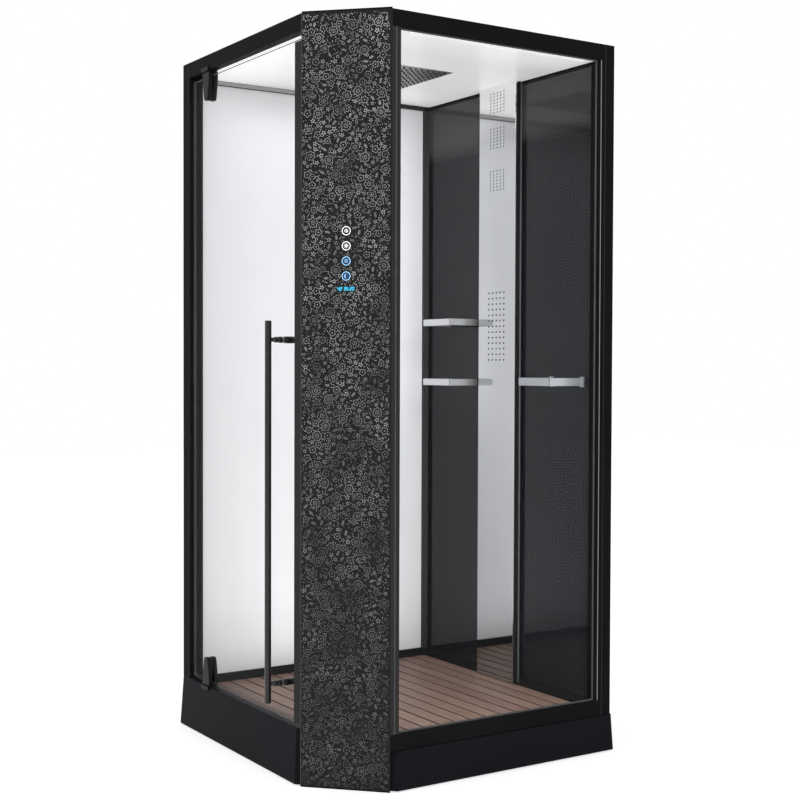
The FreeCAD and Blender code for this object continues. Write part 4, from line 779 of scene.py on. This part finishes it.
def digits(shape):
    """Temperature and minutes in plain seven-stroke figures."""
    tall, wide, thick, lean, gap = 9.6, 4.6, 1.4, 0.1, 0.5
    space, colon, step = 4.0, 3.2, 2.3
    middle = (DISPLAY_LOW + DISPLAY_HIGH) / 2
    low, high = middle - tall / 2 + thick / 2, middle + tall / 2 - thick / 2

    def bar(u0, z0, u1, z1):
        across, upward = (thick / 2, 0) if u0 == u1 else (0, thick / 2)
        outline = [(u0 - across, z0 - upward), (u1 + across, z0 - upward),
                   (u1 + across, z1 + upward), (u0 - across, z1 + upward)]
        slab(shape, [(u + (z - middle) * lean, z) for u, z in outline], DIGIT)

    place = -24.0
    for sign in "42 35:20":
        if sign == " ":
            place += space
            continue
        if sign == ":":
            for rise in (-2.0, 2.0):
                slab(shape, circle(place + 0.9 + rise * lean, middle + rise, 0.8, 10), DIGIT)
            place += colon
            continue
        left, right = place, place + wide
        ends = {
            "a": (left + gap, high, right - gap, high), "d": (left + gap, low, right - gap, low),
            "g": (left + gap, middle, right - gap, middle),
            "f": (left, middle + gap, left, high), "e": (left, low, left, middle - gap),
            "b": (right, middle + gap, right, high), "c": (right, low, right, middle - gap),
        }
        for stroke in STROKES[sign]:
            bar(*ends[stroke])
        place += wide + step


# ---------------------------------------------------------------- door handle

POST_LEVELS = (265, 1251)


def handle(shape):
    """A round bar with eased ends, and posts with stepped collars up to the glass."""
    low, high = mm_box("handle_bar")
    x, radius = (low.x + high.x) / 2, (high.x - low.x) / 2
    y = low.y + radius
    length = high.z - low.z
    lathe(shape, (x, y, low.z), (0, 0, 1), [
        (0, 0), (radius - 1.2, 0), (radius - 0.4, 0.4), (radius, 1.2), (radius, length - 1.2),
        (radius - 0.4, length - 0.4), (radius - 1.2, length), (0, length)], 48)
    reach = high.y - y
    for level in POST_LEVELS:
        lathe(shape, (x, y, level), (0, 1, 0), [
            (0, 0), (6.2, 0), (6.2, reach - 21), (7.0, reach - 20), (8.0, reach - 19), (8.6, reach - 17.5),
            (8.6, reach - 14.5), (8.0, reach - 13), (6.6, reach - 12), (6.6, reach - 9.5), (8.4, reach - 8.5),
            (9.0, reach - 7), (9.0, reach - 0.8), (8.4, reach), (0, reach)], 40)


def fixings(shape):
    """Inner knobs and the washers that press on both faces of the glass."""
    low, high = mm_box("handle_fixings")
    bar_low, bar_high = mm_box("handle_bar")
    x = (bar_low.x + bar_high.x) / 2
    reach = high.y - low.y
    for level in POST_LEVELS:
        lathe(shape, (x, low.y, level), (0, 1, 0), [
            (0, 0), (9.4, 0), (9.8, 0.4), (9.8, 2.6), (9.4, 3.0), (4.0, 3.0), (4.0, 11), (9.6, 11),
            (9.9, 11.4), (9.9, 13.4), (9.4, 14.0), (8.6, 14.0), (8.6, 16), (9.6, 17), (10.2, 18.5),
            (10.2, reach - 6), (9.4, reach - 2.5), (7.2, reach - 0.7), (4.0, reach), (0, reach)], 40)


# ---------------------------------------------------------------- nozzles


def spots(node_name):
    """Each separate solid of a node, from its mesh: its middle, and its lowest and highest corner."""
    mesh = frame["nodes"][node_name].data
    parent = list(range(len(mesh.vertices)))

    def root(k):
        while parent[k] != k:
            parent[k] = parent[parent[k]]
            k = parent[k]
        return k

    same = {}
    for k, vertex in enumerate(mesh.vertices):
        key = tuple(round(c * GRID) for c in vertex.co)
        if key in same:
            parent[root(k)] = root(same[key])
        same[key] = k
    for edge in mesh.edges:
        a, b = (root(k) for k in edge.vertices)
        parent[a] = b
    groups = {}
    for k, vertex in enumerate(mesh.vertices):
        groups.setdefault(root(k), []).append(vertex.co * 1000)
    boxes = []
    for members in groups.values():
        low = Vector(min(p[i] for p in members) for i in range(3))
        high = Vector(max(p[i] for p in members) for i in range(3))
        boxes.append(((low + high) / 2, low, high))
    return sorted(boxes, key=lambda box: tuple(round(c, 2) for c in box[0]))


def jets(shape):
    """Domed rubber jets with a spray hole, each in a soft collar that lies on the mirror."""
    front = mm_box("mirror_panel")[0].y
    for middle, low, high in spots("body_jet_nozzles"):
        radius, length = (high.x - low.x) / 2, high.y - low.y
        collar, face = radius * 1.7, high.y - front
        lathe(shape, (middle.x, high.y, middle.z), (0, -1, 0), [
            (0, 0), (radius, 0), (radius, face + 0.02), (collar, face + 0.02), (collar, face + 0.3),
            (collar * 0.9, face + 0.5), (radius, face + 0.55), (radius * 0.92, length - 0.3),
            (radius * 0.7, length - 0.1), (radius * 0.45, length), (radius * 0.36, length),
            (radius * 0.3, length - 0.9), (0, length - 1.1)], 20)


def rain_tips(shape):
    """Soft tapered tips that hang a few millimetres from the face of the rain head."""
    for middle, _, high in spots("rain_head_nozzles"):
        lathe(shape, (middle.x, middle.y, high.z), (0, 0, -1), [
            (0, 0), (4.2, 0), (4.0, 1.0), (3.0, 2.2), (2.5, 4.2), (2.0, 5.0), (1.2, 5.0), (1.0, 3.6),
            (0, 3.2)], 14)


# ---------------------------------------------------------------- mirror and thin trim

LINING_Z = (160.5, 2090.5)
STOP_HEIGHT = 18


def mirror_pane(shape):
    """One silvered pane with a ground bevel all round its front."""
    low, high = mm_box("mirror_panel")
    ground = 2.2
    loops = []
    for inset, y in ((0.4, high.y), (0, high.y - 0.4), (0, low.y + 0.9), (ground, low.y)):
        loops.append(corners(shape, (
            (low.x + inset, y, low.z + inset), (high.x - inset, y, low.z + inset),
            (high.x - inset, y, high.z - inset), (low.x + inset, y, high.z - inset))))
    shape.faces.new(loops[0][::-1])
    shape.faces.new(loops[-1])
    for lower, upper in zip(loops, loops[1:]):
        band(shape, lower, upper)


def sealant_beads(shape):
    """Fine beads down the mirror's sides, where it stands off the dark wall."""
    body_low, body_high = mm_box("mirror_column_body")
    wall = mm_box("dark_wall_panel_right")[0].y
    for side, x in ((1, body_high.x), (-1, body_low.x)):
        prism(shape, [(x, wall), (x, wall - 3.0), (x + side * 1.2, wall - 2.6), (x + side * 2.6, wall - 1.2),
                      (x + side * 3.0, wall)][::side], body_low.z, body_high.z)


def post_trim(shape):
    """A pale bead where the glass channel meets the back right post."""
    low, high = mm_box("glass_channel")
    x, y = high.x, high.y
    prism(shape, [(x, y - 3.4), (x + 1.2, y - 3.0), (x + 1.2, y - 0.9), (x, y - 0.5)], low.z, high.z)


def post_ribs(shape):
    """Fine ribs down the outer faces of the back right and front left posts."""
    low, high = mm_box("back_right_post")
    x, y = high.x, low.y
    prism(shape, [(x, y + 12), (x + 0.7, y + 12.4), (x + 0.7, y + 14.6), (x, y + 15)], low.z, high.z)
    low, high = mm_box("front_left_post")
    x, y = high.x, low.y
    prism(shape, [(x - 4.6, y), (x - 4.2, y - 0.7), (x - 1.6, y - 0.7), (x - 1.2, y)], low.z, high.z)


def wall_cove(shape):
    """A slim strip along the top of the white wall."""
    low, high = mm_box("left_top_rail")
    x, top = high.x, mm_box("ceiling_panel")[0].z - 0.5
    front, back = (corners(shape, (
        (x, y, low.z + 0.5), (x + 1.6, y, low.z + 1.5), (x + 1.6, y, top - 1.0), (x, y, top)))
        for y in (low.y, high.y))
    shape.faces.new(front)
    shape.faces.new(back[::-1])
    band(shape, front, back)


def corner_lining(shape):
    """A thin lining on the back left post, between the white wall and the dark one."""
    post_low, post_high = mm_box("back_left_post")
    x, y, wall = post_high.x, post_low.y, mm_box("dark_wall_panel_left")[0].y
    edge = mm_box("white_wall_panel")[1].x
    prism(shape, [(edge, y), (edge, y - 0.6), (x + 0.4, y - 0.6), (x + 1.0, y), (x + 1.0, wall - 0.6),
                  (x + 2.2, wall), (x, wall), (x, y)], *LINING_Z)


def column_edges(shape):
    """A pale glass edge down the left of the patterned front, and a fine rib down the jamb beside it."""
    low, high = mm_box("column_front_panel")
    x, y = low.x, low.y
    prism(shape, [(x - 0.2, y), (x - 0.2, y - 0.5), (x + 1.3, y - 0.5), (x + 1.3, y + 0.8)],
          low.z + 2, high.z - 2)
    low, high = mm_box("glass_jamb")
    x, y = high.x, low.y + 11
    prism(shape, [(x, y), (x + 0.6, y + 0.4), (x + 0.6, y + 4.2), (x, y + 4.6)], low.z, high.z)


def door_stop(shape):
    """A black strip under the front rail, beside the upper pivot, that closes the gap over the glass."""
    low, high = mm_box("front_top_rail")
    right = mm_box("pivot_brackets")[0].x - 2
    prism(shape, [(low.x, high.y - 1.6), (right, high.y - 1.6), (right, high.y), (low.x, high.y)],
          low.z - STOP_HEIGHT, low.z)


def seams(shape):
    """Fine butt joints at the bent corners of the shelf bands and the towel holder."""
    for name, aside, inset in (("shelf_rails", 0.0, 0.5), ("towel_holder", 3.0, 3.5)):
        for _, low, high in spots(name):
            x, y = high.x - aside, low.y
            prism(shape, [(x - 2.2, y), (x - 2.2, y - 0.25), (x - 0.3, y - 0.25), (x - 0.3, y + 0.1),
                          (x - 0.6, y + 0.4), (x - 1.2, y + 0.4)], low.z + inset, high.z - inset)


def shadow_joint(shape):
    """A narrow black joint on the tray's rim, along the outer faces of the bottom rails."""
    low, high = mm_box("back_right_post")
    left = mm_box("left_bottom_rail")[0].x
    front = mm_box("right_bottom_rail")[0].y
    corner = mm_box("front_left_post")[0].y
    x, y, z = high.x, high.y, low.z
    outer = [(x + 1, front), (x + 1, y + 1), (left - 1, y + 1), (left - 1, corner)]
    inner = [(x, front), (x, y), (left, y), (left, corner)]
    (low_out, low_in), (high_out, high_in) = (
        [corners(shape, [(*spot, height) for spot in line]) for line in (outer, inner)]
        for height in (z, z + 1.6))
    for k in range(3):
        shape.faces.new((low_out[k], low_out[k + 1], high_out[k + 1], high_out[k]))
        shape.faces.new((low_in[k + 1], low_in[k], high_in[k], high_in[k + 1]))
        shape.faces.new((high_out[k], high_out[k + 1], high_in[k + 1], high_in[k]))
        shape.faces.new((low_out[k + 1], low_out[k], low_in[k], low_in[k + 1]))
    for k in (0, 3):
        shape.faces.new((low_out[k], high_out[k], high_in[k], low_in[k]))


# Each piece: its name, builder, look, body and slot, then the CAD node that it replaces.
PIECES = (
    ("column_pattern", pattern, "silver_ink", "cabin", "patterned_glass"),
    ("key_marks_white", white_marks, "white_light", "cabin", "key_surface"),
    ("key_marks_blue", blue_marks, "blue_light", "cabin", "key_surface"),
    ("key_discs_blue", blue_discs, "deep_blue", "cabin", "key_surface"),
    ("display_digits", digits, "cyan_light", "cabin", "display_surface"),
    ("handle", handle, "handle_black", "door", "black_fittings", "handle_bar"),
    ("handle_knobs", fixings, "handle_black", "door", "black_fittings", "handle_fixings"),
    ("body_jets", jets, "nozzle_rubber", "cabin", "nozzle_rubber", "body_jet_nozzles"),
    ("rain_tips", rain_tips, "nozzle_rubber", "cabin", "nozzle_rubber", "rain_head_nozzles"),
    ("mirror_pane", mirror_pane, "mirror_glass", "cabin", "mirror_glass", "mirror_panel"),
    ("sealant_beads", sealant_beads, "sealant", "cabin", "clear_seal"),
    ("post_trim", post_trim, "pale_bead", "cabin", "clear_seal"),
    ("post_ribs", post_ribs, "grey_profile", "cabin", "black_frame"),
    ("wall_cove", wall_cove, "cove", "cabin", "black_frame"),
    ("corner_lining", corner_lining, "grey_profile", "cabin", "black_frame"),
    ("column_edges", column_edges, "sealant", "cabin", "black_frame"),
    ("door_stop", door_stop, "black_frame", "cabin", "black_frame"),
    ("seams", seams, "magnet_rubber", "cabin", "chrome_fittings"),
    ("shadow_joint", shadow_joint, "joint_black", "cabin", "black_frame"),
)
for name, builder, look, body, slot, *replaced in PIECES:
    add_piece(name, builder, MATERIALS[look], body, replaced)


# ---------------------------------------------------------------- floor, world, lamps, camera

FLOOR = 14
SKY_STRENGTH = 0.62

# Each lamp: its place and what it points at, its width and length, all in m, and its power in W.
LAMPS = {
    "key": ((0.8, -4.4, 3.6), (0.3, -0.3, 1.3), (2.0, 2.0), 26),
    "fill": ((4.2, 0.6, 2.6), (0, 0, 1.0), (2.5, 2.5), 20),
    "inside_top": ((0.0, -0.05, 2.06), (0.0, -0.05, 0.0), (0.7, 0.7), 1.8),
    "inside_side": ((0.43, 0.1, 0.95), (-0.45, 0.1, 0.95), (0.8, 1.7), 7.6),
    "inside_corner": ((-0.25, 0.2, 1.5), (-0.49, 0.45, 1.5), (0.2, 1.0), 0.5),
    "inside_low": ((0.0, 0.0, 0.16), (0.0, 0.0, 2.0), (0.6, 0.6), 2.4),
}

# The camera that was fitted to the frame's corners in the photo; its focal length is in pixels.
CAMERA_PLACE = (3.6492, -2.3179, 1.1762)
YAW, PITCH, ROLL = (math.radians(angle) for angle in (57.177, -1.409, 0.195))
FOCAL, PHOTO_WIDTH, SENSOR = 1368.32, 800, 36


def stage():
    """A plain pale floor. The camera sees it lifted to white, and it keeps the cabin's soft shadow."""
    mesh = bpy.data.meshes.new("floor")
    mesh.from_pydata([(-FLOOR, -FLOOR, 0), (FLOOR, -FLOOR, 0), (FLOOR, FLOOR, 0), (-FLOOR, FLOOR, 0)],
                     [], [(0, 1, 2, 3)])
    floor = bpy.data.objects.new("floor", mesh)
    bpy.context.scene.collection.objects.link(floor)
    material, tree, place = start_material("floor")
    rays = node(tree, "LightPath")
    colour = tones(tree, noise(tree, place, 1.2), 0.80, 0.82)
    plain = node(tree, "BsdfDiffuse", Color=colour).outputs[0]
    lift = node(tree, "Emission", Color=(1, 1, 1, 1), Strength=0.6).outputs[0]
    seen = node(tree, "AddShader", i0=plain, i1=lift).outputs[0]
    direct = calc(tree, "MAXIMUM", rays.outputs["Is Camera Ray"], rays.outputs["Is Glossy Ray"])
    mesh.materials.append(shown(material, mixed_shader(tree, direct, plain, seen)))


def world():
    """White where it is seen or mirrored, and dimmer as a light."""
    sky = bpy.data.worlds.new("studio")
    bpy.context.scene.world = sky
    sky.use_nodes = True
    tree = sky.node_tree
    tree.nodes.clear()
    rays = node(tree, "LightPath")
    seen = rays.outputs["Is Camera Ray"]
    for name in ("Is Glossy Ray", "Is Transmission Ray"):
        seen = calc(tree, "MAXIMUM", seen, rays.outputs[name])
    level = spread(tree, seen, SKY_STRENGTH, 1.0, 0.0, 1.0)
    shade = node(tree, "Background", Color=(1, 1, 1, 1), Strength=level).outputs[0]
    node(tree, "OutputWorld", Surface=shade)


def lamp(name, place, target, size, power):
    data = bpy.data.lights.new(name, "AREA")
    data.shape = "RECTANGLE"
    data.size, data.size_y = size
    data.energy = power
    made = bpy.data.objects.new(name, data)
    bpy.context.scene.collection.objects.link(made)
    made.location = place
    made.rotation_euler = (Vector(target) - Vector(place)).to_track_quat("-Z", "Y").to_euler()
    made.visible_glossy = False
    made.visible_camera = False


def camera():
    ahead = Vector((-math.sin(YAW) * math.cos(PITCH), math.cos(YAW) * math.cos(PITCH), math.sin(PITCH)))
    level = Vector((math.cos(YAW), math.sin(YAW), 0))
    upright = level.cross(ahead)
    right = level * math.cos(ROLL) + upright * math.sin(ROLL)
    up = upright * math.cos(ROLL) - level * math.sin(ROLL)
    data = bpy.data.cameras.new("camera")
    data.sensor_width = SENSOR
    data.lens = FOCAL / PHOTO_WIDTH * SENSOR
    data.clip_start, data.clip_end = 0.05, 60
    made = bpy.data.objects.new("camera", data)
    bpy.context.scene.collection.objects.link(made)
    rows = [(right[k], up[k], -ahead[k], CAMERA_PLACE[k]) for k in range(3)]
    made.matrix_world = Matrix((*rows, (0, 0, 0, 1)))
    bpy.context.scene.camera = made


stage()
world()
for name, values in LAMPS.items():
    lamp(name, *values)
camera()
bpy.context.scene.view_settings.view_transform = "Standard"
